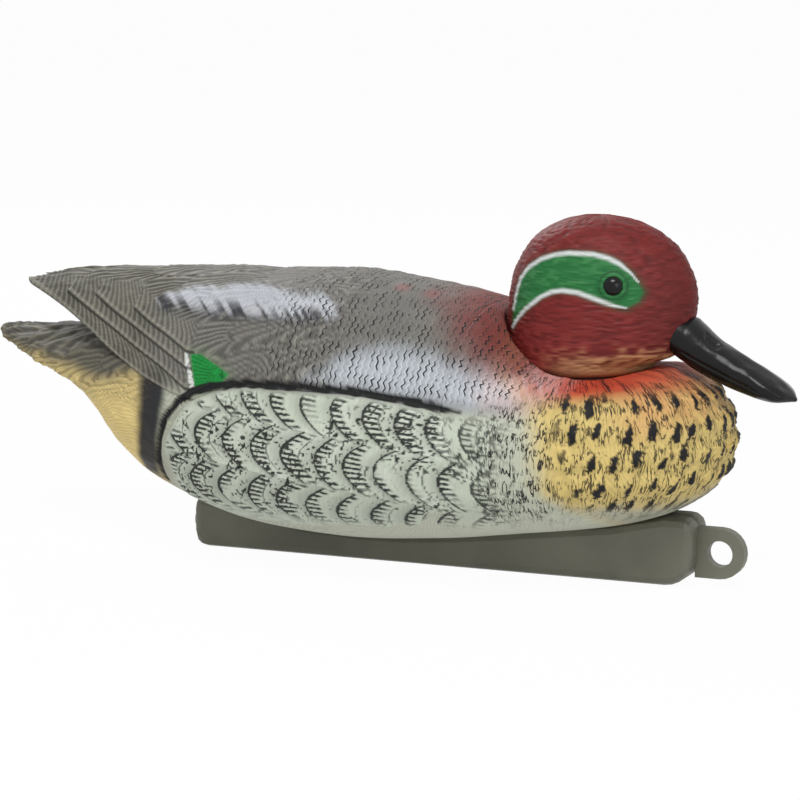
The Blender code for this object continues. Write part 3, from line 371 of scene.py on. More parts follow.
spots = {
    "tailEdge": ((-160, 77.5), (-150, 75), (-120, 71), (-100, 68.5), (-80, 70), (-60, 71)),
    "band": ((20, -84), (37, -79), (46, -76), (55, -73), (71, -72), (80, -72)),
    "breast": ((20, 104), (30.8, 96.7), (37.4, 87.3), (48.5, 84.8), (62.3, 82.3), (71.4, 75.9), (79.5, 66.7),
               (100, 60)),
    "shoulder": ((-8, 74), (4, 83), (18, 87), (37, 85.5), (55, 81), (68, 77), (75, 70), (56, 68), (30, 71.5),
                 (7, 73)),
    "whiteBack": ((-78, 97.6), (-63, 101.0), (-41, 103.0), (-12, 102.4), (-2, 99.5), (-4, 97.2), (-27, 96.2),
                  (-59, 95.4), (-75, 95.6)),
    "speculum": ((-55.4, 80.1), (-50.9, 80.5), (-37.6, 74.7), (-40.2, 71.3), (-48.7, 68.1), (-51.9, 68.9)),
    "speculumEdge": ((-57.7, 79.6), (-55.8, 75.9), (-54.1, 71.9), (-52.8, 68.4)), "fanX": -33.0, "fanZ": 74.3,
    "neckPink": (71, 77), "rosyX": (14, 26), "rosyY": 14,
}
coat = {  # the body's paints
    "grey": (112, 110, 105), "paleGrey": (142, 140, 132), "rump": (92, 90, 81), "cream": (232, 208, 140),
    "tail": (92, 88, 82), "belly": (188, 192, 174), "lowBelly": (196, 198, 182), "shoulder": (182, 188, 195),
    "breast": (214, 190, 120), "breastShadeBelow": (178, 178, 160), "red": (190, 58, 44), "apricot": (214, 160, 96),
    "flush": (212, 122, 88), "pink": (222, 196, 192), "maroon": (118, 42, 38), "rosy": (168, 92, 90),
    "navy": (46, 48, 58), "white": (190, 194, 201), "fringe": (206, 208, 214), "band": (28, 29, 36),
    "greenHaze": (110, 146, 100), "green": (28, 142, 62), "greenRay": (14, 76, 34), "bead": (240, 242, 240),
    "groove": (24, 25, 25), "tailDark": (66, 62, 54), "tailPale": (160, 152, 128), "barbDark": (60, 58, 53),
    "barbPale": (158, 155, 142), "sage": (198, 206, 190), "paleSage": (214, 220, 208),
    "sageHollowShade": (140, 147, 134), "arcs": (24, 26, 25), "drop": (26, 25, 27), "wingPale": (146, 142, 128),
    "seam": (36, 35, 33), "stripEdge": (172, 168, 154),
}


def bodyPaint(x, y, z):  # airbrushed zones: each sprays its colour where its outline or line says
    mottle = cloud(x / 14, (z + np.abs(y)) / 14) - 0.5
    rear = smooth(-66, -84, x)
    under = smooth(3.0, -5.0, z - curveAt(spots["tailEdge"], x) + 5 * mottle)
    belly = smooth(70.5, 64, z) * smooth(-78, -66, x)
    shoulder = smooth(-5, 5, insideBy(spots["shoulder"], x, z) + 6 * mottle)
    breast = smooth(-9, 5, x - curveAt(spots["breast"], z) + 10 * mottle)
    neck = np.hypot(x - hull["neckX"], y)
    red = smooth(66.5, 73.5, z - 0.06 * (x - 80) + 5 * mottle) * smooth(62, 74, x) * smooth(54, 38, neck)
    flush = smooth(56, 72, z + 8 * mottle) * smooth(96, 118, x) * (0.35 + 0.65 * noise2(y * 0.35, z * 0.25))
    pinkX, pinkZ = spots["neckPink"]
    pink = smooth(-6, 4, 9 - np.hypot((x - pinkX) * 0.75, z - pinkZ))
    pink = pink * (0.35 + 0.65 * noise2(x * 1.1 + z * 0.8, (x - z) * 0.22))
    maroon = smooth(62, 36, neck + 16 * mottle) * smooth(74, 80, z) * smooth(80, 66, x)
    rosy = np.maximum.reduce([smooth(5, 0, np.abs(x - spot)) for spot in spots["rosyX"]])
    rosy = rosy * smooth(6, 1, np.abs(np.abs(y) - spots["rosyY"]))
    white = insideBy(spots["whiteBack"], x, z)
    fringe = smooth(0.3, 0.62, noise2((x - 0.95 * np.abs(y)) * 0.62, z * 0.05))
    navy = smooth(-5.5, -1.0, white) * smooth(98.5, 95.6, z + 2 * mottle)
    band = smooth(7.5, 3.0, np.abs(x - curveAt(spots["band"], z)) + 4 * mottle)
    green = insideBy(spots["speculum"], x, z)
    rays = np.sin((z - spots["fanZ"]) / np.maximum(spots["fanX"] - x, 2.0) * 88)
    bead = toLine(spots["speculumEdge"], x, z) - 0.35 * np.abs(np.sin(z * 1.35))
    return sprayed(
        primed(x.shape, coat["grey"]), coat,
        (0.35 * smooth(-0.1, 0.35, mottle), "paleGrey"),
        (rear, "rump"),
        (rear * under, "cream"),
        (smooth(-130, -156, x) * 0.45, "tail"),
        (belly, "belly"),
        (belly * smooth(36, 22, z) * 0.5, "lowBelly"),
        (shoulder * 0.92, "shoulder"),
        (breast, "breast"),
        # painted shade: the breast greys towards its bottom
        (breast * smooth(40, 29, z + 8 * mottle), "breastShadeBelow"),
        (red * 0.95, "red"),
        (red * smooth(112, 132, x) * 0.6, "apricot"),
        (flush * 0.6, "flush"),
        (pink * 0.75, "pink"),
        (maroon * 0.85, "maroon"),
        (rosy * 0.4, "rosy"),
        (navy * 0.9, "navy"),
        (smooth(-1.5, 2.4, white + 1.4 * (fringe - 0.5)) * 0.95, "white"),
        (navy * fringe * smooth(92.0, 96.5, z) * 0.8, "fringe"),
        (band * smooth(76.5, 71.5, z) * smooth(24, 34, z) * 0.97, "band"),
        (smooth(-4.5, 0.5, green) * 0.35, "greenHaze"),
        (smooth(-0.35, 0.45, green), "green"),
        (smooth(-0.2, 0.5, green) * smooth(0.45, 0.95, rays) * 0.75, "greenRay"),
        (smooth(0.85, 0.45, bead) * smooth(80.8, 80.0, z), "bead"))


def grooveLayer(x, z, wide=1.25):  # the dark paint run into the flank's groove
    wobble = 0.9 * (noise2(x * 0.35, z * 0.2) - 0.5)
    reach = wide * (smooth(54.5, 44, x) * 0.75 + 0.25)
    return smooth(reach + 0.45, reach - 0.1, toLine(groovePath, x, z) + wobble), "groove"


def scales(s, t, pitch, row, bulge):
    # overlapping round feather tips in staggered rows: share behind the rim, place across, row and column
    r = np.floor(t / row)
    across = t / row - r - 0.5
    jitter = (hash2(r, 3.0) - 0.5) * 0.3
    phase = s / pitch - bulge * 4 * across * across + 0.5 * np.mod(r, 2) + jitter
    column = np.floor(phase)
    return phase - column, across, r, column


def flankArcs(x, z):  # the flank's feathers: share behind the rim, and the ink of rims, strokes and specks
    bent = x + 3 * (cloud(x / 25, z / 25) - 0.5)
    f, across, r, column = scales(bent, z + 0.12 * x, flank["pitch"], flank["row"], flank["bulge"])
    aside = np.abs(across)
    fan = across * flank["row"] * (1 + 0.25 * f)
    rough = noise2(x * 1.1, z * 1.1) - 0.5
    hatch = smooth(-0.25, 0.3, np.sin(fan * 3.3 + 2.2 * hash2(r, column)) + 1.1 * rough)
    reachIn = 0.3 + 0.46 * noise2(column * 3.7 + across * 4, r * 5.1)
    strokes = hatch * smooth(reachIn, reachIn - 0.14, f) * smooth(0.52, 0.42, aside)
    strokes = strokes * smooth(0.05, 0.34, noise2(column * 1.9 + across * 2.2, r * 2.3 + f))
    rim = smooth(0.125, 0.07, f + 0.09 * rough) * smooth(0.56, 0.48, aside)
    inner = smooth(0.032, 0.012, np.abs(f - 0.55 - 0.05 * rough)) * smooth(0.45, 0.3, aside)
    inner = inner * smooth(0.4, 0.6, hash2(column, r + 9))
    speck = smooth(0.66, 0.74, noise2(x * 1.25, z * 1.25)) * smooth(0.38, 0.55, cloud(x / 8, z / 8))
    return f, np.maximum.reduce([strokes, rim, speck, inner * 0.8])


lumps = {"centre": 74.816, "radius": 60.0, "pitch": 9.6, "row": 9.4, "spread": 3.4, "height": 1.6}


covertFan = {"pitch": 29.0, "row": 17.0, "bulge": 0.5, "wave": 0.18, "lift": 0.35}
tailFan = {"pitch": 26.0, "row": 13.0, "bulge": 0.5, "wave": 0.16, "lift": 0.3}


def fanBarbs(s, t, fan):  # barbs spreading from each feather's root: their wave, and the tip's lift
    f, across, r, column = scales(s, t, fan["pitch"], fan["row"], fan["bulge"])
    ray = across / (1.75 - f) + 0.1 * (1 - f) ** 2 + 0.05 * noise2(s * 0.2, t * 0.2)
    return np.sin(ray * 54 + 6 * hash2(r, column)), (1 - f) ** 2


def covertBarbs(x, y, z):  # the wing coverts' barbs, the same on the wing and on the hull where the two meet
    around = 0.75 * (z - np.abs(y))
    bent = around - 0.22 * x + 2.5 * cloud(x / 15, around / 15)
    wave, lift = fanBarbs(x + 0.3 * around, bent, covertFan)
    return wave, lift, smooth(14, -8, x)


def barbLayers(amount, wave):  # dark between the coverts' barbs and pale on them
    dark, pale = smooth(0.1, -0.9, wave), smooth(0.35, 1.0, wave)
    return (amount * dark * 0.5, "barbDark"), (amount * pale * 0.4, "barbPale")


def breastRelief(x, y, z):  # staggered raised tips, each with its dark drop, on the breast
    row = np.floor(z / lumps["row"])
    a = np.arctan2(y, x - lumps["centre"]) * lumps["radius"] / lumps["pitch"] + 0.5 * np.mod(row, 2)
    column = np.floor(a)
    beside = (a - column - 0.5) * lumps["pitch"]
    above = (z / lumps["row"] - row - 0.5) * lumps["row"]
    lump = np.exp(-(beside ** 2 + above ** 2) / lumps["spread"] ** 2)
    where = smooth(86.8, 94.8, x) * smooth(32, 40, z) * smooth(75, 67, z)
    dx = beside + (hash2(row, column) - 0.5) * 3.2
    dz = above + (hash2(column, row) - 0.5) * 3.6
    size = 0.72 + 0.55 * hash2(column + 5, row)
    lean = dx + 0.3 * dz * np.sign(y) + 0.5 * np.sign(y) * (dz / 2.6) ** 2
    ragged = 0.75 * (noise2(x * 0.9 + y * 0.5, z * 1.1) - 0.5) + 0.35 * (noise2(x * 2.3, z * 2.3 + y) - 0.5)
    drop = np.hypot(lean / 1.75, (dz + 0.35 * np.abs(lean)) / 3.1) / size + ragged
    painted = smooth(0, 10, x - curveAt(spots["breast"], z)) * smooth(28, 35, z) * smooth(77, 70, z)
    return lump * where, smooth(1.1, 0.82, drop) * painted


def bodyMarks(x, z):  # weights of the zigzag strokes, of the barbs and of the crackle
    mantle = smooth(-36, -14, x) * smooth(74, 67, x - 0.25 * (z - 70)) * smooth(68, 73, z)
    barbs = smooth(6, -16, x) * 0.1 + 0.25
    side = smooth(56, 66, x) * smooth(98, 84, x) * smooth(24, 34, z) * smooth(74, 66, z)
    front = smooth(-4, 8, x - curveAt(spots["breast"], z)) * smooth(24, 32, z)
    return np.stack((mantle, barbs * (1 - 0.7 * mantle), np.maximum(side, front * 0.9)), -1)


def bodyLay(x, y, z, turn):  # tail-ward mm, mm around the section, and the way the barbs slope
    slope = 0.5 + 0.5 * smooth(-20, -110, x) + 0.35 * np.sin(x / 17)
    front = smooth(62, 92, x)
    around = lumps["radius"] * np.arctan2(np.abs(y), x - lumps["centre"]) - 169
    tailward = around * front - x * (1 - front)
    return np.stack((tailward, (z + 25) * front + turn * 48 * (1 - front), slope + 0 * z), -1)


def bodyPiece(name, shares, columns, firstTip, lastTip):
    points, turn = hullGrid(shares, columns)
    x, y, z = np.moveaxis(points, -1, 0)
    lump, drop = breastRelief(x, y, z)
    groove = smooth(1.7, 0.4, toLine(groovePath, x, z)) * smooth(56, 46, x)
    ripple = (noise2(x * 0.22, turn * 13) - 0.5) * 0.5 * smooth(28, 36, z)
    tail = smooth(-84, -100, x) * np.sin((np.abs(y) + 0.1 * (x + 100)) * 0.9) * 0.35 * smooth(60, 70, z)
    height = lumps["height"] * lump + 0.3 * drop - 1.2 * groove + ripple + tail
    tailWave, lift = fanBarbs(x + 0.5 * z, z - 0.25 * x, tailFan)
    feathered = smooth(-70, -84, x) * smooth(56, 64, z)
    height = height + feathered * (tailFan["wave"] * tailWave + tailFan["lift"] * lift)
    wave, lift, covert = covertBarbs(x, y, z)
    covert = covert * smooth(-62, -56, x) * smooth(70, 74, z)
    covert = covert * smooth(0.5, -1.5, insideBy(spots["speculum"], x, z))
    covert = covert * smooth(2, -3, insideBy(spots["whiteBack"], x, z))
    height = height + covert * (covertFan["wave"] * wave + covertFan["lift"] * lift)
    onward = smooth(42, 50, x) * smooth(22, 29, z) * smooth(69, 61, z)  # where the flank's arcs pass its panel
    paint = sprayed(
        bodyPaint(x, y, z), coat,
        (feathered * smooth(0.2, -0.8, tailWave) * 0.5, "tailDark"),
        (feathered * smooth(0.4, 1.0, tailWave) * 0.3, "tailPale"),
        *barbLayers(covert, wave),
        (onward * smooth(78, 58, x) * 0.8, "sage"),
        (onward * smooth(77, 61, x) * flankArcs(x, z)[1] * 0.9, "arcs"),
        (drop, "drop"),
        grooveLayer(x, z))
    points = raised(points, height)
    away = np.hypot(points[..., 0] - hull["neckX"], points[..., 1])
    fall = smooth(hull["pocket"] + 0.5, hull["pocket"] - 0.3, away)  # down to the neck's seat
    over = (points[..., 2] > hull["seatZ"]) & (turn > math.pi / 2)
    points[..., 2] = np.where(over, points[..., 2] + (hull["seatZ"] - points[..., 2]) * fall, points[..., 2])
    extras = {"lay": bodyLay(x, y, z, turn), "marks": bodyMarks(x, z)}
    return gridPiece(name, points, paint, extras, firstTip, lastTip)


plumageBody = plumage("painted_plumage", 0.55)
a = np.arange(1, hull["rearRows"] + 1) / hull["rearRows"]
rearShares = hull["split"] * (0.35 * a * a + 0.65 * a)
b = np.arange(hull["frontRows"]) / hull["frontRows"]
frontShares = hull["split"] + (1 - hull["split"]) * np.sin(math.pi / 2 * b)
tailTip = (alongAt(0), 0, heightAt(hull["belly"][0][1]))
breastTip = (alongAt(1), 0, heightAt(hull["belly"][-1][1]))
bodyRear = bodyPiece("body_rear", rearShares, hull["rearColumns"], tailTip, None)
bodyFront = bodyPiece("body_front", frontShares, hull["frontColumns"], None, breastTip)
wear(bodyRear, plumageBody, "hull", "painted_body", "body_shell")
wear(bodyFront, plumageBody, "hull", "painted_body")
print("body made")


def pillow(name, outer, thick, paint, lay, marks, returns=8):
    # an outer skin with its own thickness, closed round its edges
    n = normals(outer)
    if (n[..., 1] * outer[..., 1]).sum() < 0:
        n = -n
    pick = np.linspace(outer.shape[1] - 1, 0, returns).astype(int)[1:-1]
    points = np.concatenate((outer, (outer - n * thick[..., None])[:, pick]), axis=1)
    paint, lay, marks = (np.concatenate((grid, grid[:, pick]), axis=1) for grid in (paint, lay, marks))
    if ((points - points.mean((0, 1))) * ringNormals(points)).sum() < 0:
        points, paint, lay, marks = points[::-1], paint[::-1], lay[::-1], marks[::-1]
    return gridPiece(name, points, paint, {"lay": lay, "marks": marks})


def flankPiece(name, side):
    # raised panel: superellipse sections between a lower and an upper edge, its rim rolled into the hull
    a = np.linspace(0.0, 1.0, flank["rows"])[:, None]
    rear = flank["lowEdge"][0][0]
    share = rear + 0.0002 + (flank["front"] - rear) * (0.55 * a + 0.45 * a ** 3) ** 1.25
    b = np.linspace(0, 1, flank["columns"])[None]
    bottom = heightAt(hullLine("belly", share)) + 1.25
    widest = heightAt(hullLine("widest", share))
    top = heightAt(hullLine("back", share) - 0.03)
    zTop = heightAt(curveAt(flank["topEdge"], share))
    zLow = np.maximum(heightAt(curveAt(flank["lowEdge"], share)), bottom + 0.06 * (widest - bottom))
    z = zLow + (zTop - zLow) * (1 - (1 - b) * (1 - 0.25 * b * (1 - b)))
    x = alongAt(share) + 0 * z
    low = z < widest
    n = np.where(low, curveAt(hull["lower"], share), curveAt(hull["upper"], share))
    reach = np.where(low, bottom, top)
    oval = np.maximum(1 - np.abs((z - widest) / (reach - widest)) ** n, 0) ** (1 / n)
    y = curveAt(flank["widths"], share) * hull["width"] / 2 * oval
    edge = np.minimum(np.gradient(zTop[:, 0], x[:, 0])[:, None] ** 2, 400)
    toTop = (zTop - z) / np.sqrt(1 + edge)
    toRear = x - x[0, 0]
    d = np.minimum(toTop, np.where(z < heightAt(0.33), toRear, 1e9))
    roll = 1 - np.sqrt(1 - np.clip(1 - d / flank["rim"], 0, 1) ** 2)
    f, arcs = flankArcs(x, z)
    inside = smooth(1.0, 3.5, d) * smooth(72, 60, x) * smooth(20, 27, z)
    lift = flank["step"] * (1 - f) ** 1.6 * inside
    ink = np.clip(arcs * inside, 0, 1)
    height = lift - flank["inkDrop"] * ink - flank["rimDrop"] * roll
    outer = np.stack((x, side * y, z), -1)
    nrm = normals(outer)
    nrm = nrm * np.sign((nrm[..., 1] * side).sum())
    outer = outer + nrm * height[..., None]
    sage = smooth(0.0, 3.0, d) * smooth(76, 60, x)
    paint = sprayed(
        bodyPaint(x, y, z), coat,
        (sage, "sage"),
        (sage * smooth(0.35, 0.65, cloud(x / 9, z / 9)) * 0.35, "paleSage"),
        # painted shade: darker in the low part of each feather, just before the next feather's raised tip
        (sage * smooth(0.5, 1.0, f) * 0.45, "sageHollowShade"),
        (ink * 0.96, "arcs"),
        grooveLayer(x, z, 1.0))
    lay = np.stack((-x, z, 0 * z + 0.3), -1)
    marks = np.stack((0 * z, 0.12 + 0 * z, smooth(52, 66, x) * smooth(22, 30, z)), -1)
    thick = flank["thick"] * (1 - 0.8 * roll)
    return pillow(name, outer, thick, paint, lay, marks)


for name, side in (("flank_left", 1.0), ("flank_right", -1.0)):
    wear(flankPiece(name, side), plumageBody, "hull", "painted_body")
print("flanks made")

wing = {
    "widths": ((0.04, 0.27), (0.075, 0.335), (0.13, 0.43), (0.187, 0.53), (0.238, 0.612), (0.289, 0.725),
               (0.34, 0.81), (0.391, 0.865), (0.442, 0.885), (0.527, 0.9)),
    "tops": ((0.04, 0.925), (0.075, 0.94), (0.13, 0.958), (0.221, 0.972), (0.34, 0.99), (0.442, 0.975),
             (0.527, 0.95)),
    "widest": ((0.04, 0.8), (0.075, 0.78), (0.13, 0.72), (0.238, 0.583), (0.34, 0.482), (0.527, 0.45)),
    "edge": ((0.052, 0.917), (0.058, 0.904), (0.08, 0.886), (0.126, 0.838), (0.177, 0.765), (0.238, 0.663),
             (0.282, 0.61), (0.34, 0.56), (0.527, 0.507)),
    "rear": 0.053, "front": 0.52, "notchRear": 8.0, "notchFront": -102.6, "tipX": -150.6,
    "rows": 330, "columns": 200, "thick": 2.4,
    "lines": (((-124.5, 97.3), (-104.4, 89.2), (-84.7, 80.7), (-68.4, 74.3), (-56.0, 68.0)),
              ((-111.2, 97.2), (-95.7, 90.4), (-78.5, 84.0), (-64.7, 78.5), (-56.6, 75.2)),
              ((-91.5, 93.8), (-79.1, 88.8), (-67.7, 84.7), (-57.5, 80.6))),
    "step": 0.8, "fade": 4, "barb": 2.9, "pad": 1.8, "rim": 1.1, "rimDrop": 0.9,
}


def wingPiece(name, side):
    # folded wing: sections of its own oval, from the middle or the tips' notch out to the lower edge
    a = np.linspace(0, 1, wing["rows"])[:, None]
    share = wing["rear"] + (wing["front"] - wing["rear"]) * (0.6 * a + 0.4 * a * a)
    b = np.linspace(0, 1, wing["columns"])[None]
    x = alongAt(share)
    half = curveAt(wing["widths"], share) * hull["width"] / 2
    top = heightAt(curveAt(wing["tops"], share))
    widest = heightAt(curveAt(wing["widest"], share))
    n = curveAt(hull["upper"], share)
    zEdge = np.minimum(heightAt(curveAt(wing["edge"], share)), top - 0.4)
    notch = wing["notchRear"] * np.clip((wing["notchFront"] - x) / (wing["notchFront"] - wing["tipX"]), 0, 1)
    start = math.pi - np.arcsin(np.clip(notch / half, 0, 1) ** (n / 2))
    end = math.pi - np.arccos(np.clip((zEdge - widest) / (top - widest), 0, 1) ** (n / 2))
    turn = start + (end - start) * b
    y = half * np.maximum(np.sin(turn), 0) ** (2 / n)
    z = widest + (top - widest) * np.abs(np.cos(turn)) ** (2 / n)
    x = x + 0 * turn
    up = z - zEdge
    outer = np.stack((x, side * y, z), -1)
    height = 0 * up
    seam = np.full(up.shape, 1e9)
    lowest = up
    for path in wing["lines"]:
        place = z - curveAt(path, x)
        strip = smooth(path[0][0] - 1, path[0][0] + 9, x) * smooth(-52.5, -56, x)
        rise = smooth(-0.35, 0.35, place) * np.exp(-np.maximum(place, 0) / wing["fade"])
        height = height + wing["step"] * rise * strip
        seam = np.where(strip > 0.3, np.minimum(seam, np.where(place < 0.7, np.abs(place), 1e9)), seam)
        lowest = np.where((place > 0) & (strip > 0.3), place, lowest)
    rimD = np.minimum(up, np.where(notch > 0.05, np.abs(y - notch), 1e9))
    roll = 1 - np.sqrt(1 - np.clip(1 - rimD / wing["rim"], 0, 1) ** 2)
    ripple = (noise2(x * 0.3, turn * 18) - 0.5) * 0.35
    nrm = normals(outer)
    nrm = nrm * np.sign(nrm[..., 2].sum())
    over = z - np.maximum(curveAt(wing["lines"][2], x), 84) - 6
    striped = smooth(-53, -58, x) * smooth(15, 11, lowest) * smooth(2.5, -0.5, over)
    run = 0.82 * x - 0.57 * z + 0.25 * lowest + 0.13 * lowest ** 2
    slant = np.sin(run * 2 * math.pi / wing["barb"] + 3.2 * cloud(x * 0.22, z * 0.22))
    wave, lift, covert = covertBarbs(x, y, z)
    covert = (1 - striped) * covert
    wave = slant * striped + wave * covert
    pad = smooth(-2.5, 2.5, insideBy(spots["whiteBack"], x, z))
    relief = covertFan["wave"] * wave + covertFan["lift"] * lift * covert + wing["pad"] * pad
    settle = smooth(0, 0.05, a)
    height = (height + ripple + relief * smooth(0, 3, up) - wing["rimDrop"] * roll) * settle
    outer = outer + nrm * height[..., None]
    grey = smooth(-48, -70, x)
    plain = (1 - pad) * smooth(0.5, -1.5, insideBy(spots["speculum"], x, z))
    paint = sprayed(
        bodyPaint(x, y, z), coat,
        (grey * smooth(0.35, 0.7, cloud(x / 12, z / 6)) * 0.3 * plain, "wingPale"),
        *barbLayers(plain, wave),
        (smooth(0.9, 0.2, seam) * 0.75, "seam"),
        (smooth(1.0, 0.2, np.abs(lowest - 0.9)) * striped * 0.35, "stripEdge"),
        grooveLayer(x, z))
    slope = 0.95 + 0.5 * smooth(20, 8, up) * grey - 0.5 * smooth(-70, -20, x)
    lay = np.stack((-x, turn * 40, slope + 0 * up), -1)
    thick = wing["thick"] * (1 - 0.75 * roll) * smooth(-0.2, 3.0, up + 0.6)
    return pillow(name, outer, thick, paint, lay, bodyMarks(x, z))


for name, side in (("wing_left", 1.0), ("wing_right", -1.0)):
    wear(wingPiece(name, side), plumageBody, "hull", "painted_body")
print("wings made")


# Head, in mm from the neck axis at the seat

neckRadius, headReach, eyeSpan = 27.2, 43.3, 46.0


def scaled(length, *points):  # (share, value) points, each value times a length
    return tuple((share, value * length) for share, value in points)


head = {
    "height": 56.3, "foot": 0.6, "pinch": 0.25, "rows": 258, "columns": 360,
    "back": ((0, 0.865), (0.026, 0.966), (0.062, 1), (0.37, 1), (0.48, 0.988), (0.586, 0.955), (0.675, 0.89),
             (0.8, 0.74), (0.888, 0.56), (0.959, 0.28), (1, -0.25)),
    "front": scaled(neckRadius, (0, 0.865), (0.026, 0.966), (0.062, 1.03))
             + scaled(headReach, (0.098, 0.75), (0.142, 0.855), (0.284, 0.947), (0.373, 0.982), (0.48, 1),
                      (0.586, 0.984), (0.675, 0.938), (0.8, 0.84), (0.888, 0.702), (0.959, 0.508))
             + scaled(neckRadius, (1, 0.25)),
    "half": scaled(neckRadius, (0, 0.865), (0.026, 0.966), (0.062, 1), (0.14, 0.995), (0.28, 0.955))
            + scaled(eyeSpan, (0.586, 0.5), (0.675, 0.475), (0.8, 0.42), (0.888, 0.345), (0.959, 0.225),
                     (1, 0)),
    "centre": scaled(neckRadius, (0, 0), (0.45, 0), (0.8, 0.15), (1, 0.25)),
    "eyeRise": 33.4, "eyeForward": 18.3, "eye": 3.2, "lid": 5.8, "lidProud": 0.7, "dome": 1.7,
    "eyeRows": 26, "eyeColumns": 48, "shankFrom": 0.8, "shank": 14,
}
headCoat = {  # the head's paints
    "chestnut": (112, 35, 33), "rust": (134, 52, 48), "dark": (66, 19, 20), "brow": (80, 32, 30),
    "chin": (200, 156, 110), "nape": (150, 60, 54), "haze": (58, 70, 44), "green": (36, 105, 55),
    "litGreen": (74, 142, 84), "line": (222, 228, 226), "lidRing": (8, 60, 28), "socket": (10, 26, 16),
    "eye": (8, 8, 9),
}
eyePatch = {
    "upper": ((58.0, 95.2), (58.2, 99), (59.0, 104), (60.7, 110.1), (64.0, 114.3), (69.1, 117.6),
              (74.7, 119.6), (80.6, 120.6), (89.5, 120.4), (94.5, 119.2), (98.4, 117.4), (102.6, 114.1),
              (105.2, 110.9)),
    "front": ((107.3, 107.4), (105.8, 103.9)),
    "lower": ((58.2, 92.6), (61.0, 96.4), (64.2, 99.6), (70.9, 104.7), (75.0, 106.7), (79.1, 107.5),
              (85.0, 107.0), (92.2, 104.6), (98.1, 102.6), (102.0, 101.8)),
    "lineWidth": 1.4, "upperEnd": 105.4, "lowerEnd": 102.2,
}


def crowned(share):
    return np.arcsin(np.clip(share, 0, 1)) * 2 / math.pi


def headLine(key, share):
    points = np.array(head[key], float)
    return curveAt(np.stack((crowned(points[:, 0]), points[:, 1]), -1), crowned(share))


def headPoint(share, turn):  # a point of the head's skin: turn 0 faces forward
    centre = headLine("centre", share)
    ahead = np.cos(turn)
    front = headLine("front", share) - centre
    back = headLine("back", share) * neckRadius + centre
    narrowing = 1 - head["pinch"] * np.maximum(ahead, 0) ** 2
    x = centre + np.where(ahead > 0, front, back) * ahead
    y = headLine("half", share) * np.sin(turn) * narrowing
    z = hull["seatZ"] + head["foot"] + share * head["height"] + 0 * turn
    return np.stack((x + hull["neckX"], y, z), -1)


def eyeFrame(side):  # where an eye sits and the way it faces
    share = np.array(head["eyeRise"] / head["height"])
    centre = headLine("centre", share)
    turn = side * np.arccos((head["eyeForward"] - centre) / (headLine("front", share) - centre))
    spot = headPoint(share, turn)
    along = headPoint(share, turn + 0.01) - headPoint(share, turn - 0.01)
    up = headPoint(share + 0.01, turn) - headPoint(share - 0.01, turn)
    facing = np.cross(along, up)
    return spot, facing / np.linalg.norm(facing)


def headPiece():
    a = np.linspace(0, 0.995, head["rows"])[:, None]
    share = np.sin(math.pi / 2 * a)
    turn = turns(head["columns"])
    points = headPoint(share, turn)
    x, y, z = np.moveaxis(points, -1, 0)
    mottle = cloud(x / 9, (z + y) / 9) - 0.5
    streak = noise2(turn * 9 + x * 0.05, z * 1.15 + 1.5 * mottle) - 0.5
    height = streak * 0.42 * smooth(0.02, 0.1, share + 0 * turn)
    chin = smooth(88, 79, z + 4 * mottle - 8 * streak) * smooth(68, 98, x)
    outline = list(eyePatch["upper"]) + list(eyePatch["front"]) + list(eyePatch["lower"])[::-1]
    deep = insideBy(outline, x, z)
    layers = [
        (smooth(-0.1, 0.5, streak + mottle) * 0.45, "rust"),
        (smooth(0.05, -0.5, streak) * 0.5, "dark"),
        (smooth(101, 119, x) * 0.5, "brow"),
        (chin * 0.85, "chin"),
        (smooth(86, 79, z) * smooth(80, 62, x) * 0.5, "nape"),
        (smooth(-2.8, 0.4, deep) * 0.8, "haze"),
        (smooth(-0.5, 0.7, deep), "green"),
        (smooth(-0.2, 0.8, deep) * smooth(0.0, 0.5, streak) * 0.5, "litGreen"),
    ]
    for path, end in ((eyePatch["upper"][1:], eyePatch["upperEnd"]), (eyePatch["lower"], eyePatch["lowerEnd"])):
        breadth = eyePatch["lineWidth"] * (0.35 + 0.65 * smooth(end, end - 9, x))  # thin towards the bill
        layers.append((smooth(breadth, 0, toLine(path, x, z)) * 0.9, "line"))
    for side in (1.0, -1.0):
        spot, facing = eyeFrame(side)
        offset = points - spot
        depth = offset @ facing
        radius = np.linalg.norm(offset - depth[..., None] * facing, axis=-1)
        near = (radius < head["lid"] + 1.2) & (depth > -8)
        ring = smooth(head["lid"] + 0.5, head["lid"] - 0.5, radius)
        bead = np.exp(-((radius - 4.0) / 0.75) ** 2) * 0.35 + np.exp(-((radius - 5.6) / 0.5) ** 2) * 0.25
        push = np.where(near, ring * 0.35 + bead, 0)
        height = np.where(near, height * (1 - ring), height) + push
        dark = np.exp(-((radius - 5.0) / 0.45) ** 2) * 0.8
        layers.append((np.where(near, dark, 0), "lidRing"))
        layers.append((np.where(near, smooth(3.7, 3.2, radius), 0), "socket"))
    paint = sprayed(primed(x.shape, headCoat["chestnut"]), headCoat, *layers)
    points = raised(points, height)
    lay = np.stack((turn * 30 + 0 * share, z * 1.6, 0 * z + 1.57), -1)
    marks = np.stack((0 * z, 0.3 + 0 * z, 0 * z), -1)
    crown = (hull["neckX"] + 0.25 * neckRadius, 0, hull["seatZ"] + head["foot"] + head["height"])
    return gridPiece("head_skin", points, paint, {"lay": lay, "marks": marks}, None, crown)


plumageHead = plumage("painted_head_plumage", 0.5)
wear(headPiece(), plumageHead, "head", "painted_head", "head_shell")
print("head made")

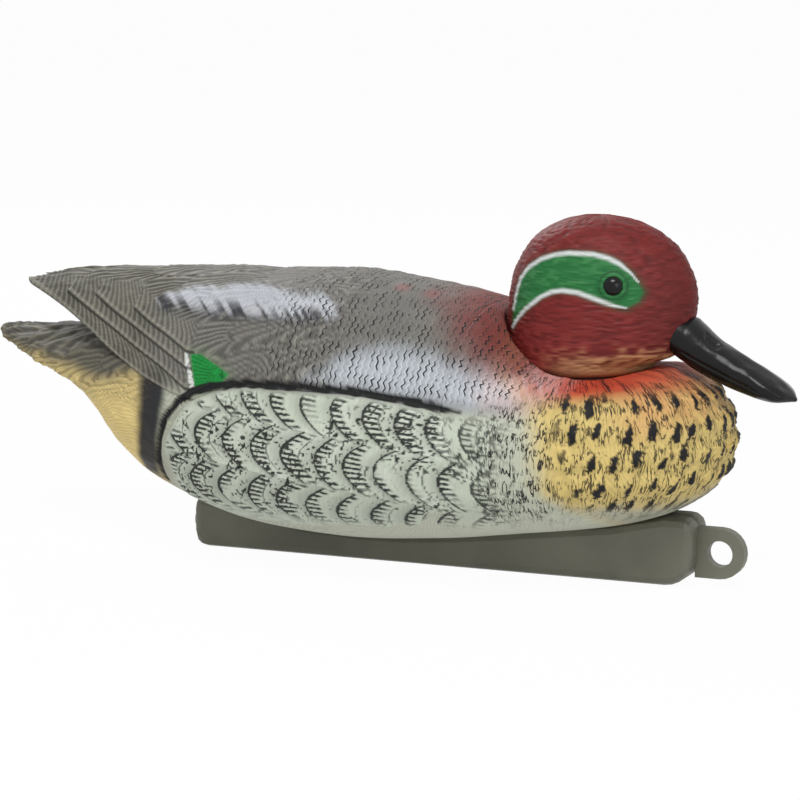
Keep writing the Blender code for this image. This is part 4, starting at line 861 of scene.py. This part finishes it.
bill = {
    "length": 45.5, "width": 20.0, "depth": 17.6, "rise": 12.7, "droop": math.radians(25.5), "plug": 5.0,
    "widths": ((0, 0.95), (0.25, 0.87), (0.5, 0.84), (0.75, 0.93), (0.9, 0.78), (1, 0)),
    "rises": ((0, 1), (0.12, 0.81), (0.26, 0.64), (0.44, 0.54), (0.64, 0.48), (0.82, 0.38), (1, 0.05)),
    "drops": ((0, 0.76), (0.12, 0.86), (0.28, 0.9), (0.46, 0.85), (0.64, 0.73), (0.82, 0.53), (1, 0.05)),
    "rows": 150, "columns": 180, "nostril": (9.6, 5.4), "black": (17, 17, 19), "nostrilShadeBlack": (6, 6, 7),
    "lowerPower": 2.4, "upperPower": 2.0,
}


def billPiece():
    # spatulate bill: two half-ovals along a straight axis, with a ridge, nostrils, a nail and a mouth line
    a = np.linspace(0, 1, bill["rows"])[:, None]
    plug = bill["plug"] / bill["length"]
    share = -plug + (0.992 + plug) * np.sin(math.pi / 2 * a)
    turn = turns(bill["columns"])
    at = np.clip(share, 0, 1)
    taper = np.minimum(1, 1 + share * 0.8)
    side = np.where(turn < math.pi, 1.0, -1.0)
    folded = np.where(turn < math.pi, turn, 2 * math.pi - turn)
    wide = taper * curveAt(bill["widths"], at) * bill["width"] / 2
    low = -taper * curveAt(bill["drops"], at) * bill["depth"] / 2
    high = taper * curveAt(bill["rises"], at) * bill["depth"] / 2
    y, z = ovalPoint(wide, low, 0 * share, high, bill["lowerPower"], bill["upperPower"], folded)
    x = share * bill["length"] + 0 * turn
    points = np.stack((x, y * side, z), -1)
    ahead, up = bill["nostril"]
    hole = np.hypot((x - ahead) / 4.4, (z - up + 0.25 * (x - ahead)) / 1.7)
    lip = 0.05 * np.exp(-((hole - 1.25) / 0.28) ** 2)
    dent = lip - smooth(1.0, 0.45, hole) * smooth(2.6, 3.6, np.abs(y))
    ridge = 0.55 * np.exp(-(y / 2.4) ** 2) * smooth(2.2, 2.9, folded)
    ridge = ridge * smooth(0.25, 0.5, at) * smooth(1.0, 0.8, at)
    mouth = -0.5 * np.exp(-((folded - 1.25) / 0.06) ** 2) * smooth(0.0, 0.1, at) * smooth(0.95, 0.8, at)
    wave = 0.25 * (noise2(x * 0.28, folded * 2.6) - 0.5)
    nail = 0.35 * np.exp(-((at - 0.93) / 0.05) ** 2) * smooth(2.0, 2.8, folded)
    height = np.where(share > 0.02, dent + ridge + mouth + wave + nail, 0)
    points = raised(points, height)
    x, y, z = np.moveaxis(points, -1, 0)
    rootX = hull["neckX"] + float(headLine("front", np.array(bill["rise"] / head["height"])))
    rootZ = hull["seatZ"] + head["foot"] + bill["rise"]
    c, s = math.cos(bill["droop"]), math.sin(bill["droop"])
    turned = np.stack((x * c + z * s + rootX, y, z * c - x * s + rootZ), -1)
    tip = (bill["length"] * c + rootX, 0, rootZ - bill["length"] * s)
    # painted shade: darker black inside the nostril dents
    paint = sprayed(primed(x.shape, bill["black"]), bill, (smooth(0.8, 0.4, hole) * 0.8, "nostrilShadeBlack"))
    return gridPiece("bill_skin", turned, paint, None, None, tip)


def glossPaint(name, roughness, coat, scale):
    material, shader, w = startMaterial(name, roughness, coat, 0.12, specular=0.2)
    place = w.node("ShaderNodeTexCoord", out=3)
    grain = w.noise(place, scale, 3.0)
    settings = {"Color": w.attribute("paint"), "Value": grain * 0.6 + 0.7}
    connect(w.node("ShaderNodeHueSaturation", None, settings), shader, "Base Color")
    connect(grain * 0.2 + (roughness - 0.1), shader, "Roughness")
    emboss(grain, shader, 0.35, 0.0004)
    return material


wear(billPiece(), glossPaint("gloss_black_paint", 0.26, 0.06, 260.0), "head", "gloss_black_bill", "bill")


def eyePiece(name, side):
    # domed eye: an ellipse's quarter turned about the eye's axis, with a short shank under it
    spot, facing = eyeFrame(side)
    a = np.linspace(0, 1, head["eyeRows"])[:, None]
    turn = turns(head["eyeColumns"])
    domed = a < head["shankFrom"]
    bow = math.pi / 2 * np.minimum(a / head["shankFrom"], 1)
    radius = head["eye"] * np.where(domed, np.sin(np.maximum(bow, 0.04)), 1.0)
    sunk = (a - head["shankFrom"]) * head["shank"]
    out = head["lidProud"] + np.where(domed, head["dome"] * np.cos(bow), -sunk) + 0 * turn
    e1 = np.cross(facing, (0, 0, 1.0))
    e1 = e1 / np.linalg.norm(e1)
    e2 = np.cross(facing, e1)
    across, up = radius * np.cos(turn), radius * np.sin(turn)
    points = spot + across[..., None] * e1 + up[..., None] * e2 + out[..., None] * facing
    if ((points - points.mean((0, 1))) * ringNormals(points)).sum() < 0:
        points = points[:, ::-1]
    return gridPiece(name, points, primed(across.shape, headCoat["eye"]))


eyeGloss = glossPaint("black_eye_gloss", 0.14, 0.1, 400.0)
for name, side, node in (("eye_dome_left", 1.0, "eye_left"), ("eye_dome_right", -1.0, "eye_right")):
    wear(eyePiece(name, side), eyeGloss, "head", "black_eye", node)
print("bill and eyes made")


# CAD pieces that stay


def moulded(name, colour, worn, roughness, scale, metallic=0.0):
    material, shader, w = startMaterial(name, roughness, metallic=metallic)
    place = w.node("ShaderNodeTexCoord", out=3)
    grain = w.noise(place, scale, 4.0)
    blotch = w.noise(place, scale * 0.06, 3.0)
    connect(blotch.eased(0.35, 0.7).mix((*linear(*colour), 1), (*linear(*worn), 1)), shader, "Base Color")
    connect(grain * 0.25 + (roughness - 0.12), shader, "Roughness")
    emboss(grain, shader, 0.3, 0.0003)
    return material


stays = {
    "keel_shell": moulded("olive_moulding", (106, 106, 93), (121, 120, 106), 0.5, 700.0),
    "keel_ballast": moulded("packed_sand", (160, 146, 120), (186, 170, 138), 0.9, 1500.0),
    "keel_plug": moulded("plug_rubber", (34, 34, 34), (46, 46, 45), 0.7, 900.0),
    "neck_seal": moulded("seal_rubber", (30, 30, 30), (44, 44, 44), 0.7, 900.0),
}
steel = moulded("screw_steel", (176, 176, 172), (150, 150, 148), 0.35, 1200.0, 1.0)
for node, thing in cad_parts.items():
    if node.startswith(("keel_screw", "screw_washer")):
        stays[node] = steel
    if node in stays:
        thing.data.materials.clear()
        thing.data.materials.append(stays[node])


# Floor, light and camera

stageSet = {"floor": 6.0, "floorDrop": 0.0004, "white": 0.93, "floorGlow": 0.97, "sky": 0.28, "backdrop": 0.72}
lamps = {  # place, aim, size (m) and power (W)
    "key": ((0.25, -0.75, 1.05), (0.0, 0, 0.06), 0.55, 8.6),
    "fill": ((1.1, -0.9, 0.45), (0.02, 0, 0.06), 0.8, 3.4),
    "back": ((-0.7, 0.7, 0.8), (0, 0, 0.07), 0.6, 4.0),
}


def emitLight(name, place, aim, size, power):
    data = bpy.data.lights.new(name, "AREA")
    data.shape = "DISK"
    data.size = size
    data.energy = power
    lamp = added(name, data)
    lamp.location = place
    lamp.rotation_euler = (Vector(aim) - Vector(place)).to_track_quat("-Z", "Y").to_euler()


def backdropRays(wire):  # 1 for the rays that show the backdrop: camera, glossy and transmission
    path = wire.node("ShaderNodeLightPath").out.node
    shown = ("Is Camera Ray", "Is Glossy Ray", "Is Transmission Ray")
    seen, glossy, through = (Wire(wire.tree, path.outputs[key]) for key in shown)
    return wire.math("MINIMUM", seen + glossy + through, 1.0)


floorMesh = bpy.data.meshes.new("floor")
half = stageSet["floor"]
corners = [(-half, -half, 0), (half, -half, 0), (half, half, 0), (-half, half, 0)]
floorMesh.from_pydata(corners, [], [(0, 1, 2, 3)])
floor = added("floor", floorMesh)
floor.location.z = -stageSet["floorDrop"]
floorPaint, floorShader, fw = startMaterial("pale_floor", 0.9)
floorShader.inputs["Base Color"].default_value = (*[stageSet["white"]] * 3, 1)
glow = fw.node("ShaderNodeEmission", None, {"Color": (1, 1, 1, 1), "Strength": 1.0})
matt = Wire(fw.tree, floorShader.outputs[0])
seen = backdropRays(fw) * stageSet["floorGlow"]
mixed = fw.node("ShaderNodeMixShader", None, {0: seen, 1: matt, 2: glow})
fw.tree.links.new(mixed.out, fw.tree.nodes["Material Output"].inputs["Surface"])
floorMesh.materials.append(floorPaint)

world = bpy.data.worlds.new("studio")
bpy.context.scene.world = world
world.use_nodes = True
ww = Wire(world.node_tree)
level = backdropRays(ww) * stageSet["backdrop"] + stageSet["sky"]
background = world.node_tree.nodes["Background"]
background.inputs["Color"].default_value = (1, 1, 1, 1)
ww.tree.links.new(level.out, background.inputs["Strength"])
for name, settings in lamps.items():
    emitLight(name, *settings)

camera = {
    "azimuth": 22.5, "elevation": 9.5, "distance": 1.3, "lens": 157.5, "sensor": 36.0,
    "target": (0.00715, 0.0, 0.0598),
}
data = bpy.data.cameras.new("camera")
data.lens = camera["lens"]
data.sensor_width = camera["sensor"]
eye = added("camera", data)
az, el = math.radians(camera["azimuth"]), math.radians(camera["elevation"])
away = Vector((math.sin(az) * math.cos(el), -math.cos(az) * math.cos(el), math.sin(el)))
eye.location = Vector(camera["target"]) + away * camera["distance"]
eye.rotation_euler = (-away).to_track_quat("-Z", "Y").to_euler()
bpy.context.scene.camera = eye
bpy.context.scene.view_settings.view_transform = "Standard"
print("stage made")
